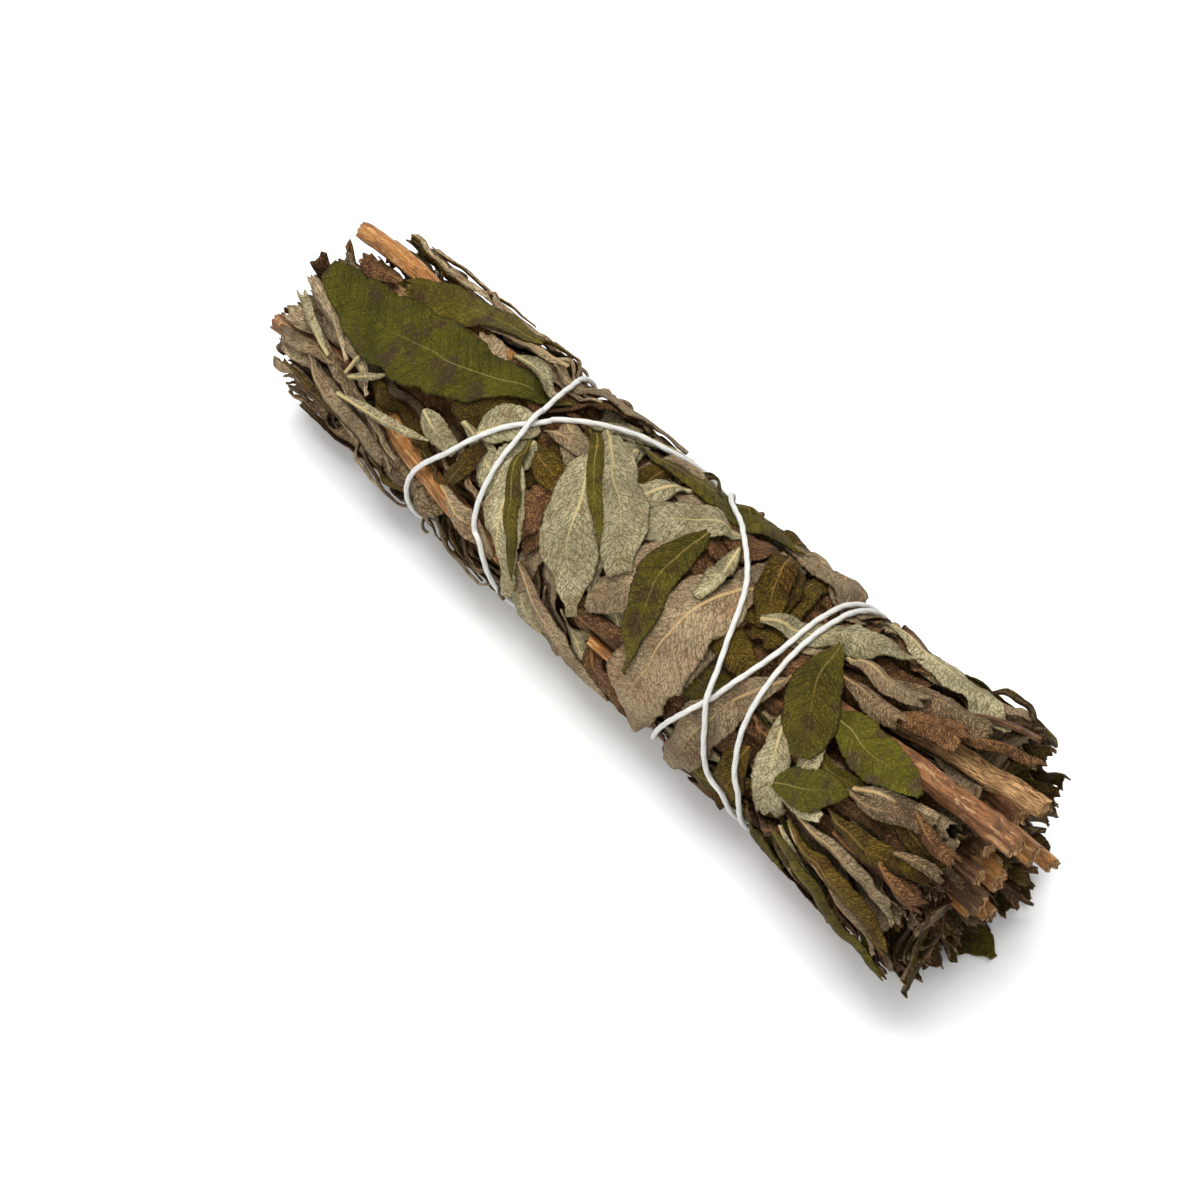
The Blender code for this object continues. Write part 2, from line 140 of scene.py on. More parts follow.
class Graph:
    """A material's node tree, built one node at a time."""

    def __init__(self, name):
        self.material = bpy.data.materials.new(name)
        self.material.use_nodes = True
        self.tree = self.material.node_tree
        self.shader = self.tree.nodes["Principled BSDF"]

    def fill(self, socket, value):
        if isinstance(value, bpy.types.NodeSocket):
            self.tree.links.new(value, socket)
        elif value is not None:
            socket.default_value = value

    def add(self, kind, inputs, output=0, **settings):
        node = self.tree.nodes.new("ShaderNode" + kind)
        for key, value in settings.items():
            setattr(node, key, value)
        for key, value in inputs.items():
            self.fill(node.inputs[key], value)
        return node.outputs[output]

    def math(self, operation, a, b=None, c=None):
        return self.add("Math", {0: a, 1: b, 2: c}, operation=operation)

    def ramp(self, value, start, end, low=0.0, high=1.0):
        inputs = {"Value": value, "From Min": start, "From Max": end, "To Min": low, "To Max": high}
        return self.add("MapRange", inputs, interpolation_type="SMOOTHSTEP")

    def noise(self, place, scale, detail, roughness=0.55):
        inputs = {"Vector": place, "Scale": scale, "Detail": detail, "Roughness": roughness}
        return self.add("TexNoise", inputs)

    def mix(self, share, first, second, blend="MIX"):
        inputs = {0: share, 6: first, 7: second}
        return self.add("Mix", inputs, output=2, data_type="RGBA", blend_type=blend)

    def carried(self, name):
        """A value that the mesh carries for its material."""
        return self.add("Attribute", {}, output=1, attribute_name=name)

    def split(self, vector):
        node = self.tree.nodes.new("ShaderNodeSeparateXYZ")
        self.fill(node.inputs[0], vector)
        return node.outputs

    def stretched(self, place, scale):
        return self.add("Mapping", {"Vector": place, "Scale": scale})

    def edges(self, place, scale, randomness):
        """How far a place is from the edge of its cell."""
        inputs = {"Vector": place, "Scale": scale, "Randomness": randomness}
        return self.add("TexVoronoi", inputs, feature="DISTANCE_TO_EDGE")

    def bump(self, height, distance, strength):
        return self.add("Bump", {"Height": height, "Distance": distance * MM, "Strength": strength})

    def finish(self, colour, roughness, normal, **constants):
        self.fill(self.shader.inputs["Base Color"], colour)
        self.fill(self.shader.inputs["Roughness"], roughness)
        self.fill(self.shader.inputs["Normal"], normal)
        for name, value in constants.items():
            self.shader.inputs[name.replace("_", " ")].default_value = value
        return self.material


def rgb(red, green, blue):
    """A colour as seen on a screen, from 0 to 255, as linear light."""
    return (*[(channel / 255) ** 2.2 for channel in (red, green, blue)], 1.0)


# What a leaf's mesh carries for its material: "spot" holds how far across and along the leaf a
# point is, in millimetres, and a number of its own for each leaf. "share" holds how near the
# margin it is and how near the tip, both from 0 to 1, and how deep the leaf lies, in millimetres:
# the deeper ones get painted shade, drawn darker as if in the shadow of the leaves over them.

# The colours of each kind of leaf, as seen on a screen: blade, fine lines, midrib and stains.
LEAF_COLOURS = {
    "felt": ((156, 146, 114), (74, 70, 42), (190, 168, 118), (134, 112, 80)),
    "tan": ((142, 124, 96), (74, 58, 40), (178, 148, 102), (136, 84, 56)),
    "beige": ((184, 164, 130), (104, 80, 54), (190, 166, 126), (146, 112, 80)),
    "strap": ((158, 136, 104), (78, 58, 40), (170, 146, 108), (124, 84, 62)),
    "green": ((102, 92, 34), (48, 42, 16), (150, 128, 70), (82, 62, 44)),
    "bright": ((100, 95, 31), (56, 52, 18), (158, 140, 80), (88, 70, 54)),
    "olive": ((104, 84, 32), (44, 32, 12), (146, 112, 60), (76, 48, 28)),
    "dry": ((128, 92, 60), (50, 33, 20), (140, 100, 62), (72, 46, 32)),
    "grey": ((144, 120, 90), (62, 48, 32), (160, 130, 90), (98, 68, 48)),
}
# Its pattern: the strength of its relief, cells per millimetre, the midrib's half width, the
# strengths of the stains, the lines and the painted highlight on the crowns between them, and
# whether the grain is drawn out along the leaf.
LEAF_PATTERNS = {
    "felt": (0.5, 1.5, 0.25, 0.6, 0.78, 0.12, False),
    "tan": (0.55, 1.5, 0.25, 0.3, 0.78, 0.12, False),
    "beige": (0.8, 1.2, 0.12, 0.6, 0.85, 0.3, True),
    "strap": (0.9, 1.2, 0.12, 0.6, 0.85, 0.3, True),
    "green": (1.0, 2.1, 0.16, 0.85, 0.6, 0.35, False),
    "bright": (1.0, 2.2, 0.15, 0.9, 0.55, 0.35, False),
    "olive": (1.0, 2.0, 0.18, 0.75, 0.85, 0.3, False),
    "dry": (0.9, 1.7, 0.2, 0.6, 0.85, 0.3, False),
    "grey": (0.9, 1.8, 0.22, 0.6, 0.85, 0.3, False),
}
ROUND_GRAIN = (0.75, 1.0)
DRAWN_GRAIN = (2.2, 0.3)
# The side of the leaf that faces into the bunch, and the slot named for each kind.
OTHER_SIDE = {
    **dict.fromkeys(("tan", "beige", "strap"), "olive"),
    **dict.fromkeys(("green", "bright"), "felt"),
    **dict.fromkeys(("olive", "dry"), "grey"),
    "felt": "green",
    "grey": "dry",
}
SLOT_OF = {
    **dict.fromkeys(("felt", "tan", "beige", "strap"), "leaf_felt"),
    **dict.fromkeys(("green", "bright", "olive"), "leaf_green"),
    **dict.fromkeys(("dry", "grey"), "leaf_dry"),
}


def leaf_material(kind):
    """Dry leaf: a network of fine lines between small swellings, side veins and a midrib, with painted
    highlights on the swellings' crowns and painted shade on the deeper leaves.
    """
    blade, lines, rib, stain = [rgb(*colour) for colour in LEAF_COLOURS[kind]]
    raised, cell, rib_width, stained, lined, crown_highlight, drawn_out = LEAF_PATTERNS[kind]
    grain = DRAWN_GRAIN if drawn_out else ROUND_GRAIN
    graph = Graph("sage_leaf_" + kind)
    spot = graph.carried("spot")
    across, along, own = graph.split(spot)
    margin, tip, painted_shade_depth = graph.split(graph.carried("share"))
    side = graph.math("ABSOLUTE", across)

    rib_half = graph.ramp(tip, 0.0, 1.0, rib_width, rib_width * 0.3)
    rib_mask = graph.ramp(graph.math("DIVIDE", side, rib_half), 0.5, 1.3, 1.0, 0.0)

    # Everything between the midrib and the margin runs along the side veins, which lean forward.
    wobble = graph.noise(spot, 0.9, 2.0)
    slant = graph.math("MULTIPLY_ADD", side, -0.7, along)
    slant = graph.math("MULTIPLY_ADD", wobble, 0.7, slant)
    vein_gap = graph.math("PINGPONG", graph.math("FRACT", graph.math("MULTIPLY", slant, 0.52)), 0.5)
    vein = graph.ramp(vein_gap, 0.015, 0.09, 1.0, 0.0)
    scaled = (graph.math("MULTIPLY", side, grain[0]), graph.math("MULTIPLY", slant, grain[1]), own)
    leaning = graph.add("CombineXYZ", dict(enumerate(scaled)))
    warped = graph.add("VectorMath", {0: leaning, 1: graph.noise(spot, 1.6, 2.0)}, operation="ADD")
    cells = graph.edges(warped, cell, 0.95)
    line = graph.ramp(cells, 0.02, 0.12, 1.0, 0.0)
    finer = graph.edges(warped, cell * 2.3, 1.0)
    fine_line = graph.ramp(finer, 0.02, 0.16, 1.0, 0.0)
    fuzz = graph.noise(spot, 7.0, 2.0, 0.7)
    broad = graph.noise(spot, 0.14, 3.0, 0.6)
    blotch = graph.ramp(graph.noise(spot, 0.17, 6.0, 0.72), 0.51, 0.62)
    specks = graph.ramp(graph.noise(spot, 1.9, 2.0, 0.5), 0.67, 0.74)

    darker = [channel * 0.7 for channel in blade[:3]] + [1.0]
    lighter = [min(channel * 1.35, 1.0) for channel in blade[:3]] + [1.0]
    colour = graph.mix(graph.ramp(broad, 0.3, 0.7), darker, lighter)
    colour = graph.mix(graph.math("MULTIPLY", blotch, stained), colour, stain)
    colour = graph.mix(graph.math("MULTIPLY", fine_line, 0.14), colour, lines)
    colour = graph.mix(graph.math("MULTIPLY", line, lined), colour, lines)
    colour = graph.mix(graph.math("MULTIPLY", vein, 0.4), colour, lines)
    colour = graph.mix(graph.math("MULTIPLY", specks, 0.6), colour, stain)
    # Painted highlight: the crowns of the small swellings are drawn lighter, as if catching the light.
    colour = graph.mix(graph.ramp(cells, 0.2, 0.42, 0.0, crown_highlight), colour, lighter)
    rib_fade = graph.ramp(tip, 0.25, 0.85, 0.85, 0.15)
    colour = graph.mix(graph.math("MULTIPLY", rib_mask, rib_fade), colour, rib)
    colour = graph.mix(graph.ramp(margin, 0.9, 1.0, 0.0, 0.6), colour, lines)
    tone_and_painted_shade = graph.ramp(graph.math("FRACT", graph.math("MULTIPLY", own, 0.137)), 0.0, 1.0, 0.78, 1.1)
    # Painted shade: a leaf that lies deeper under the others is drawn darker, down to 0.68 of its colour.
    tone_and_painted_shade = graph.math("MULTIPLY", tone_and_painted_shade, graph.ramp(painted_shade_depth, 0.6, 3.4, 1.0, 0.68))
    colour = graph.mix(1.0, colour, graph.add("CombineXYZ", dict.fromkeys(range(3), tone_and_painted_shade)), "MULTIPLY")

    height = graph.ramp(cells, 0.0, 0.22)
    height = graph.math("MULTIPLY_ADD", graph.ramp(finer, 0.0, 0.3), 0.35, height)
    height = graph.math("MULTIPLY_ADD", fuzz, 0.25, height)
    height = graph.math("MULTIPLY_ADD", vein, -0.7, height)
    normal = graph.bump(height, 0.22, raised)
    return graph.finish(colour, graph.ramp(fuzz, 0.2, 0.8, 0.6, 0.9), normal, Specular_IOR_Level=0.12)


LEAF_MATERIALS = {kind: leaf_material(kind) for kind in LEAF_COLOURS}


# The colours of each bark, as seen on a screen: bark, streaks, pits and peeled patches.
BARK_COLOURS = {
    "orange": ((188, 134, 78), (146, 92, 46), (96, 62, 36), (206, 166, 112)),
    "red": ((146, 100, 62), (104, 66, 42), (62, 44, 34), (190, 148, 104)),
    "tan": ((184, 140, 88), (140, 94, 52), (92, 64, 40), (206, 168, 118)),
    "dark": ((112, 80, 54), (74, 50, 34), (50, 38, 30), (142, 106, 72)),
}


def bark_material(kind):
    """Dry stem bark: streaks and peeling along the stem, with the mesh's "spot" as on a leaf."""
    bark, streak, pit, pale = [rgb(*colour) for colour in BARK_COLOURS[kind]]
    graph = Graph("stem_bark_" + kind)
    spot = graph.carried("spot")
    wavy = graph.add("VectorMath", {0: spot, 1: graph.noise(spot, 0.5, 2.0)}, operation="ADD")
    streaks = graph.noise(graph.stretched(wavy, (1.0, 0.1, 1.0)), 1.6, 4.0, 0.65)
    fibres = graph.noise(graph.stretched(wavy, (4.0, 0.22, 1.0)), 1.4, 3.0, 0.7)
    patches = graph.noise(graph.stretched(spot, (1.0, 0.4, 1.0)), 0.5, 4.0, 0.65)
    peeled = graph.noise(graph.stretched(wavy, (1.0, 0.25, 2.0)), 0.8, 5.0, 0.6)
    colour = graph.mix(graph.ramp(streaks, 0.36, 0.64), streak, bark)
    colour = graph.mix(graph.ramp(peeled, 0.54, 0.62, 0.0, 0.7), colour, pale)
    colour = graph.mix(graph.ramp(patches, 0.5, 0.66, 0.0, 0.75), colour, pit)
    colour = graph.mix(graph.ramp(fibres, 0.5, 0.66, 0.0, 0.8), colour, pit)
    height = graph.math("MULTIPLY_ADD", fibres, -0.9, streaks)
    height = graph.math("MULTIPLY_ADD", graph.ramp(peeled, 0.54, 0.6), -0.35, height)
    roughness = graph.ramp(streaks, 0.2, 0.8, 0.34, 0.62)
    return graph.finish(colour, roughness, graph.bump(height, 0.28, 0.9), Specular_IOR_Level=0.25)


def cut_wood_material():
    """The torn end of a stem: pale fibres round a darker pith."""
    wood, pith, dark = rgb(196, 154, 104), rgb(146, 102, 62), rgb(84, 54, 32)
    graph = Graph("stem_cut_wood")
    spot = graph.carried("spot")
    from_middle = graph.split(graph.carried("share"))[0]
    grain = graph.noise(graph.stretched(spot, (3.0, 0.25, 3.0)), 1.6, 4.0, 0.7)
    speckle = graph.noise(spot, 4.5, 3.0, 0.7)
    colour = graph.mix(graph.ramp(grain, 0.4, 0.62), dark, wood)
    colour = graph.mix(graph.ramp(from_middle, 0.18, 0.42, 0.75, 0.0), colour, pith)
    colour = graph.mix(graph.ramp(speckle, 0.52, 0.7, 0.0, 0.45), colour, dark)
    height = graph.math("ADD", grain, speckle)
    return graph.finish(colour, 0.85, graph.bump(height, 0.2, 0.9), Specular_IOR_Level=0.25)


STEM_MATERIALS = {kind: bark_material(kind) for kind in BARK_COLOURS}
CUT_WOOD = cut_wood_material()


def string_material():
    """Cotton twine: pale fibres along the strands, a little soiled."""
    graph = Graph("cotton_string")
    spot = graph.carried("spot")
    fibres = graph.noise(graph.stretched(spot, (3.0, 1.0, 1.0)), 3.2, 3.0, 0.7)
    soil = graph.noise(spot, 0.12, 2.0)
    colour = graph.mix(graph.ramp(fibres, 0.35, 0.65), rgb(190, 188, 180), rgb(232, 231, 226))
    colour = graph.mix(graph.ramp(soil, 0.5, 0.75, 0.0, 0.25), colour, rgb(190, 184, 168))
    normal = graph.bump(fibres, 0.12, 0.9)
    return graph.finish(colour, 0.9, normal, Specular_IOR_Level=0.1, Sheen_Weight=0.1)


STRING_MATERIAL = string_material()

# ---- Meshes ----


def add_mesh(name, points, faces, materials, spots, shares=None, indices=None):
    """A visual piece on the bunch's body, from points in millimetres."""
    mesh = bpy.data.meshes.new(name)
    mesh.from_pydata((points * MM).tolist(), [], faces)
    for material in materials:
        mesh.materials.append(material)
    if indices is not None:
        mesh.polygons.foreach_set("material_index", np.asarray(indices, np.int32))
    for key, values in (("spot", spots), ("share", shares)):
        if values is not None:
            attribute = mesh.attributes.new(key, "FLOAT_VECTOR", "POINT")
            attribute.data.foreach_set("vector", np.asarray(values, np.float32).ravel())
    mesh.shade_smooth()
    mesh.update()
    piece = bpy.data.objects.new(name, mesh)
    bpy.context.scene.collection.objects.link(piece)
    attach(piece, "root")
    return piece


def grid_faces(rows, columns, start=0, closed=False):
    """Quads of a grid of points. A closed grid's last column joins its first."""
    faces = []
    across = columns if closed else columns - 1
    for i in range(rows - 1):
        for j in range(across):
            a = start + i * columns + j
            b = start + i * columns + (j + 1) % columns
            faces.append((a, b, b + columns, a + columns))
    return faces


def shell(outer, inner):
    """Points and faces of the closed sheet between two grids, with the outer grid's faces first."""
    rows, columns = outer.shape[:2]
    total = rows * columns
    points = np.concatenate([outer.reshape(-1, 3), inner.reshape(-1, 3)])
    front = grid_faces(rows, columns)
    back = [tuple(reversed([k + total for k in face])) for face in front]
    ring = list(range(columns))
    ring += [i * columns + columns - 1 for i in range(1, rows)]
    ring += [(rows - 1) * columns + j for j in range(columns - 2, -1, -1)]
    ring += [i * columns for i in range(rows - 2, 0, -1)]
    rim = [(b, a, a + total, b + total) for a, b in zip(ring, ring[1:] + ring[:1])]
    return points, front, back, rim


def normals_of(grid):
    along = np.gradient(grid, axis=0)
    across = np.gradient(grid, axis=1)
    normal = np.cross(along, across)
    return normal / np.maximum(np.linalg.norm(normal, axis=-1, keepdims=True), 1e-9)


def smooth_noise(seed, size, low, high, octaves=3):
    """A wavy function of one number, with waves from high down to low long."""
    waves = random.Random(seed)
    parts = []
    for k in range(octaves):
        length = high * (low / high) ** (k / max(octaves - 1, 1))
        parts.append((size * 0.6**k, length, waves.uniform(0, 2 * math.pi)))
    return lambda t: sum(s * np.sin(2 * math.pi * t / length + phase) for s, length, phase in parts)


# ---- Leaves ----

LEAF_THICKNESS = 0.26
GROUND_CLEARANCE = LEAF_THICKNESS * 0.2
ROW_SPACING = 0.5
# Columns across a leaf, closer at the midrib and the margins.
ACROSS = np.array(
    [-1, -0.93, -0.8, -0.64, -0.48, -0.33, -0.2, -0.1, -0.04, 0.04, 0.1, 0.2, 0.33, 0.48, 0.64, 0.8, 0.93, 1]
)
FEW_ACROSS = np.array([-1, -0.75, -0.45, -0.15, 0.15, 0.45, 0.75, 1])
TOOTH = 1.25
TOOTH_DEPTH = 0.8
STALK = 0.55
# How far a leaf may stand proud of the surface, and how much more at the top.
SIDE_PROUD = 0.55
TOP_PROUD = 1.2
CURLED = 35.0


def outline(along, width, length, widest, torn):
    """Half a leaf's width at shares of its length, from its narrow base to its blunt or torn tip."""
    power = math.log(0.5) / math.log(widest)
    share = np.clip(along * (1 - torn), 0.0, 1.0) ** power
    swell = np.sin(math.pi * np.clip(share, 0.0, 0.98)) ** 0.66
    stalk = STALK * np.clip(1 - along * length / 5, 0.0, 1.0)
    return np.maximum(np.maximum(width / 2 * swell, stalk), 0.16)


def leaf_points(leaf, across):
    """Layout and carried values of a leaf's outer face."""
    x, turn, heading, length, width, bow, _, curl, lift, torn = leaf
    own = rng.uniform(0, 60)
    widest = rng.uniform(0.42, 0.58)
    rows = max(round(length / ROW_SPACING), 12)
    along = np.linspace(0, 1, rows)[:, None]
    across = across[None, :]
    half = outline(along, width, length, widest, torn)
    left, right = smooth_noise(own + 2, 0.06, 4.0, 12.0), smooth_noise(own + 3, 0.06, 4.0, 12.0)
    half = half * (1 + np.where(across > 0, left(along * length), right(along * length)))
    teeth = np.abs(np.sin(math.pi * (along * length + 0.3 * np.sign(across)) / TOOTH)) ** 0.7
    half = half * (1 - min(TOOTH_DEPTH / width, 0.12) * (1 - teeth) * across**6)
    ripple = smooth_noise(own, 0.34, 3.0, 10.0)
    sideways = smooth_noise(own + 1, 0.3, 8.0, 22.0)

    # A flat leaf lies across by its own width, a curled one by the chord of its roll.
    roll = math.radians(curl)
    if abs(curl) > 1:
        reach = half / roll * np.sin(np.clip(roll * across, -math.pi, math.pi))
        dip = half / roll * (1 - np.cos(np.clip(roll * across, -math.pi, math.pi)))
    else:
        reach = half * across
        dip = 0 * reach
    torn_edge = smooth_noise(own + 4, 0.5, 0.5, 3.0, 4)(across * width / 2 + own)
    forward = (along - 0.5) * length + torn_edge * np.clip((along - 0.86) / 0.14, 0, 1) * (torn > 0.1)
    side = reach + bow * (4 * along * (1 - along) - 0.5) + sideways(along * length) * (width > 3)
    cosine, sine = math.cos(math.radians(heading)), math.sin(math.radians(heading))
    place = x + forward * cosine - side * sine
    places = turn + np.degrees((forward * sine + side * cosine) / radius(x))

    tip = np.clip((along - 0.72) / 0.28, 0, 1) ** 2
    natural = dip - lift * tip - 0.15 * lift
    natural = natural + ripple(along * length) * (0.4 + 0.6 * across**2) * min(width / 7, 1)
    natural = natural + 0.35 * across * np.sin(along * length / 6 + own) * (0.3 + np.abs(across))
    values = (half * across + 0 * along, along * length + 0 * across, own + 0 * reach)
    shares = (np.abs(across) + 0 * along, along + 0 * across, 0 * reach)
    return place, places, natural, np.stack(values, -1), np.stack(shares, -1), dip


def relief(spots, finish):
    """The blade's own relief: midrib, side veins and the swelling between them, outward positive."""
    across, along = np.abs(spots[..., 0]), spots[..., 1]
    fade = np.clip(1 - along / along.max() * 0.75, 0.1, 1)
    rib = np.exp(-((across / 0.34) ** 2)) * fade
    phase = (along - 0.85 * across) * 0.42
    vein = np.exp(-(((phase - np.round(phase)) / 0.16) ** 2)) * np.clip(across / 0.6, 0, 1)
    if finish in ("green", "bright", "olive"):
        return -0.20 * rib - 0.07 * vein
    return 0.20 * rib + 0.07 * vein


def settled(depth, natural, passes):
    """A stiff leaf's depth: never less than needed, and easing back to its natural lie."""
    depth = np.maximum(depth, natural)
    for _ in range(passes):
        padded = np.pad(depth, 1, mode="edge")
        mean = (padded[:-2, 1:-1] + padded[2:, 1:-1] + padded[1:-1, :-2] + padded[1:-1, 2:]) / 4
        depth = np.maximum(depth, mean)
    return depth


def hidden(leaf, limit):
    """Whether the leaf would lie mostly deeper than the limit, out of sight."""
    x, turn, *_ = leaf_points(leaf, FEW_ACROSS)
    return np.mean(field.needed(x, turn) > limit) > 0.6


def leaf_shell(leaf, across, passes):
    """Lays one leaf in the depth field. Returns the grids of its two faces and what its mesh carries."""
    finish, curl = leaf[6], leaf[7]
    x, turn, natural, spots, shares, dip = leaf_points(leaf, across)
    needed = field.needed(x, turn)
    if abs(curl) > CURLED:
        # A curled leaf keeps its shape across, so that each row sinks as one.
        level = (needed - dip).max(axis=1, keepdims=True)
        level = settled(np.maximum(level, (natural - dip).min(axis=1, keepdims=True)), -9, passes)
        depth = level + dip
    else:
        depth = settled(needed, natural, passes)
    proud = SIDE_PROUD + TOP_PROUD * np.maximum(np.cos(np.radians(turn)), 0)
    depth = np.maximum(depth, -proud)
    field.lay(x, turn, depth + LEAF_THICKNESS + GAP)
    # The leaf's depth, which its material turns into painted shade.
    shares[..., 2] = max(np.median(depth), 0.0)
    outer = point(x, turn, depth)
    normal = normals_of(outer)
    outward = point(x, turn, depth - 1) - outer
    if (normal * outward).sum() < 0:
        normal = -normal
    outer = outer + normal * relief(spots, finish)[..., None]
    inner = outer - normal * LEAF_THICKNESS
    outer[..., 2] = np.maximum(outer[..., 2], 0.0)
    inner[..., 2] = np.maximum(inner[..., 2], GROUND_CLEARANCE)
    return outer, inner, spots, shares


def runs_backwards(outer):
    """Whether the faces of a grid of points would look into the bunch."""
    away = outer - ORIGIN
    away[..., 0] = 0
    away[..., 2] -= axis_height(0.0)
    return (normals_of(outer) * away).sum() > 0


def lay_leaf(leaf, across=ACROSS, passes=10):
    """Lays one leaf. Returns its finish and its mesh: points, faces, materials' indices and values."""
    outer, inner, spots, shares = leaf_shell(leaf, across, passes)
    points, *groups = shell(outer, inner)
    faces = [face for group in groups for face in group]
    if runs_backwards(outer):
        faces = [tuple(reversed(face)) for face in faces]
    indices = [material for group, material in zip(groups, (0, 1, 0)) for _ in group]
    carried = [np.tile(values.reshape(-1, 3), (2, 1)) for values in (spots, shares)]
    return leaf[6], points, faces, indices, *carried


def add_leaves(name, laid):
    """One piece of one or more laid leaves of the same finish."""
    finishes, points, faces, indices, spots, shares = zip(*laid)
    starts = np.cumsum([0] + [len(made) for made in points])
    joined = [tuple(k + int(start) for k in face) for start, made in zip(starts, faces) for face in made]
    piece = add_mesh(
        name,
        np.concatenate(points),
        joined,
        [LEAF_MATERIALS[finishes[0]], LEAF_MATERIALS[OTHER_SIDE[finishes[0]]]],
        np.concatenate(spots),
        np.concatenate(shares),
        np.concatenate(indices),
    )
    return piece


# ---- String ----

STRING_DIAMETER = 0.92
STRING_DEPTH = 0.95
STRING_STEP = 0.35
STRING_SIDES = 14
STRANDS = 3
STRAND_PITCH = 3.2
CROSSING_LIFT = 0.8
CROSSING_REACH = 3.0
# The string's route, one turn a row: (x, turn) from the near lower edge over the top to the far
# edge, and on round the back to the start of the next row.
STRING_ROUTE = (
    ((-21.3, 92), (-25.0, 72), (-26.4, 40), (-27.2, 10), (-30.0, -25), (-33.5, -60), (-38.5, -165)),
    ((-41.6, 92), (-34.9, 46), (-28.4, 11), (-22.7, -11), (-16.2, -33), (-8.0, -60), (5.0, -153)),
    ((17.9, 114), (22.0, 85), (28.6, 49), (32.0, 17), (31.6, -15), (31.4, -47), (35.0, -153)),
    ((39.6, 101), (37.6, 73), (35.6, 50), (34.2, 17), (33.4, -15), (33.0, -47), (34.4, -153)),
    ((36.5, 108), (32.4, 90), (29.2, 60), (25.4, 30), (19.7, 0), (9.6, -28), (0.6, -54)),
)
# The two ends cross at the knot, on the back, and run on past it as short tails.
LAST_TURN_TO_KNOT = ((-7.0, -125), (-10.0, -133), (-15.5, -137))
KNOT_TO_FIRST_TURN = ((1.0, 244), (-3.8, 240), (-7.0, 235), (-10.0, 207))
KNOT_X, KNOT_TURN, KNOT_SIZE = -7.0, 235.0, 1.25
# Which turn lies over which where they cross. Turn -1 is the first tail.
CROSSINGS = ((0, 1), (4, 2), (1, 4), (3, 2), (-1, 4))


def smooth_curve(points, spacing):
    """Points at even spacing along a Catmull-Rom curve through the given points."""
    points = np.asarray(points, float)
    padded = np.concatenate([2 * points[:1] - points[1:2], points, 2 * points[-1:] - points[-2:-1]])
    share = np.linspace(0, 1, 24, endpoint=False)[:, None]
    pieces = []
    for a, b, c, d in zip(padded, padded[1:], padded[2:], padded[3:]):
        cubic = (3 * (b - c) + d - a) * share**3 + (2 * a - 5 * b + 4 * c - d) * share**2
        pieces.append((cubic + (c - a) * share) / 2 + b)
    fine = np.concatenate([*pieces, points[-1:]])
    steps = np.hypot(np.diff(fine[:, 0]), np.radians(np.diff(fine[:, 1])) * radius(0.0))
    travelled = np.concatenate([[0], np.cumsum(steps)])
    wanted = np.linspace(0, travelled[-1], round(travelled[-1] / spacing) + 1)
    return np.stack([np.interp(wanted, travelled, fine[:, k]) for k in range(2)], -1)


def crossing_bump(route, this_turn, other_turn):
    """How near each point of one turn is to its crossing with another turn, from 0 to 1."""
    turn_of = np.floor((180 - route[:, 1]) / 360)
    flat = np.stack([route[:, 0], np.radians(route[:, 1] % 360) * radius(0.0)], -1)
    own = np.flatnonzero(turn_of == this_turn)
    other = np.flatnonzero(turn_of == other_turn)
    apart = np.linalg.norm(flat[own][:, None] - flat[other][None], axis=-1)
    centre = flat[own[np.unravel_index(apart.argmin(), apart.shape)[0]]]
    distance = np.linalg.norm(flat - centre, axis=-1)
    return np.where(turn_of == this_turn, np.exp(-((distance / CROSSING_REACH) ** 2)), 0.0)


def string_path():
    """The whole string as (x, turn, depth), from one tail, five times round, to the other."""
    route = list(KNOT_TO_FIRST_TURN)
    for number, row in enumerate(STRING_ROUTE):
        route += [(x, turn - 360 * number) for x, turn in row]
    last = len(STRING_ROUTE) - 1
    route += [(x, turn - 360 * last) for x, turn in LAST_TURN_TO_KNOT]
    route = smooth_curve(route, STRING_STEP)
    depth = np.full(len(route), STRING_DEPTH)
    for over, under in CROSSINGS:
        depth -= CROSSING_LIFT * crossing_bump(route, over, under)
        depth += CROSSING_LIFT * crossing_bump(route, under, over)
    return route[:, 0], route[:, 1], depth


def frames_along(path):
    """Unit vectors along a path, and two across it that don't spin as it goes."""
    along = np.gradient(path, axis=0)
    along /= np.linalg.norm(along, axis=-1, keepdims=True)
    side = np.cross(along[0], (0.3, 0.5, 0.8))
    sides = []
    for direction in along:
        side = side - direction * (side @ direction)
        side = side / np.linalg.norm(side)
        sides.append(side)
    sides = np.array(sides)
    return along, sides, np.cross(along, sides)


def travel(path):
    """How far along a path each of its points is."""
    return np.concatenate([[0], np.cumsum(np.linalg.norm(np.diff(path, axis=0), axis=-1))])


def cord_mesh(path, diameter, start=0):
    """A twisted cord along a path: points, faces and spots."""
    _, first, second = frames_along(path)
    gone = travel(path)[:, None]
    angle = np.linspace(0, 2 * math.pi, STRING_SIDES, endpoint=False)[None, :]
    twist = STRANDS * (angle - 2 * math.pi * gone / STRAND_PITCH / STRANDS)
    size = diameter / 2 * (0.78 + 0.22 * np.abs(np.cos(twist / 2)) ** 0.8)
    size = size * np.clip(np.minimum(gone, gone[-1] - gone) / 0.5 + 0.2, 0.2, 1.0)
    ring = np.cos(angle)[..., None] * first[:, None] + np.sin(angle)[..., None] * second[:, None]
    grid = path[:, None] + ring * size[..., None]
    faces = grid_faces(len(path), STRING_SIDES, start, closed=True)
    faces.append(tuple(start + k for k in reversed(range(STRING_SIDES))))
    last = start + (len(path) - 1) * STRING_SIDES
    faces.append(tuple(last + k for k in range(STRING_SIDES)))
    spots = np.stack([twist + 0 * gone, gone + 0 * angle, 0 * size], -1)
    return grid.reshape(-1, 3), faces, spots.reshape(-1, 3)


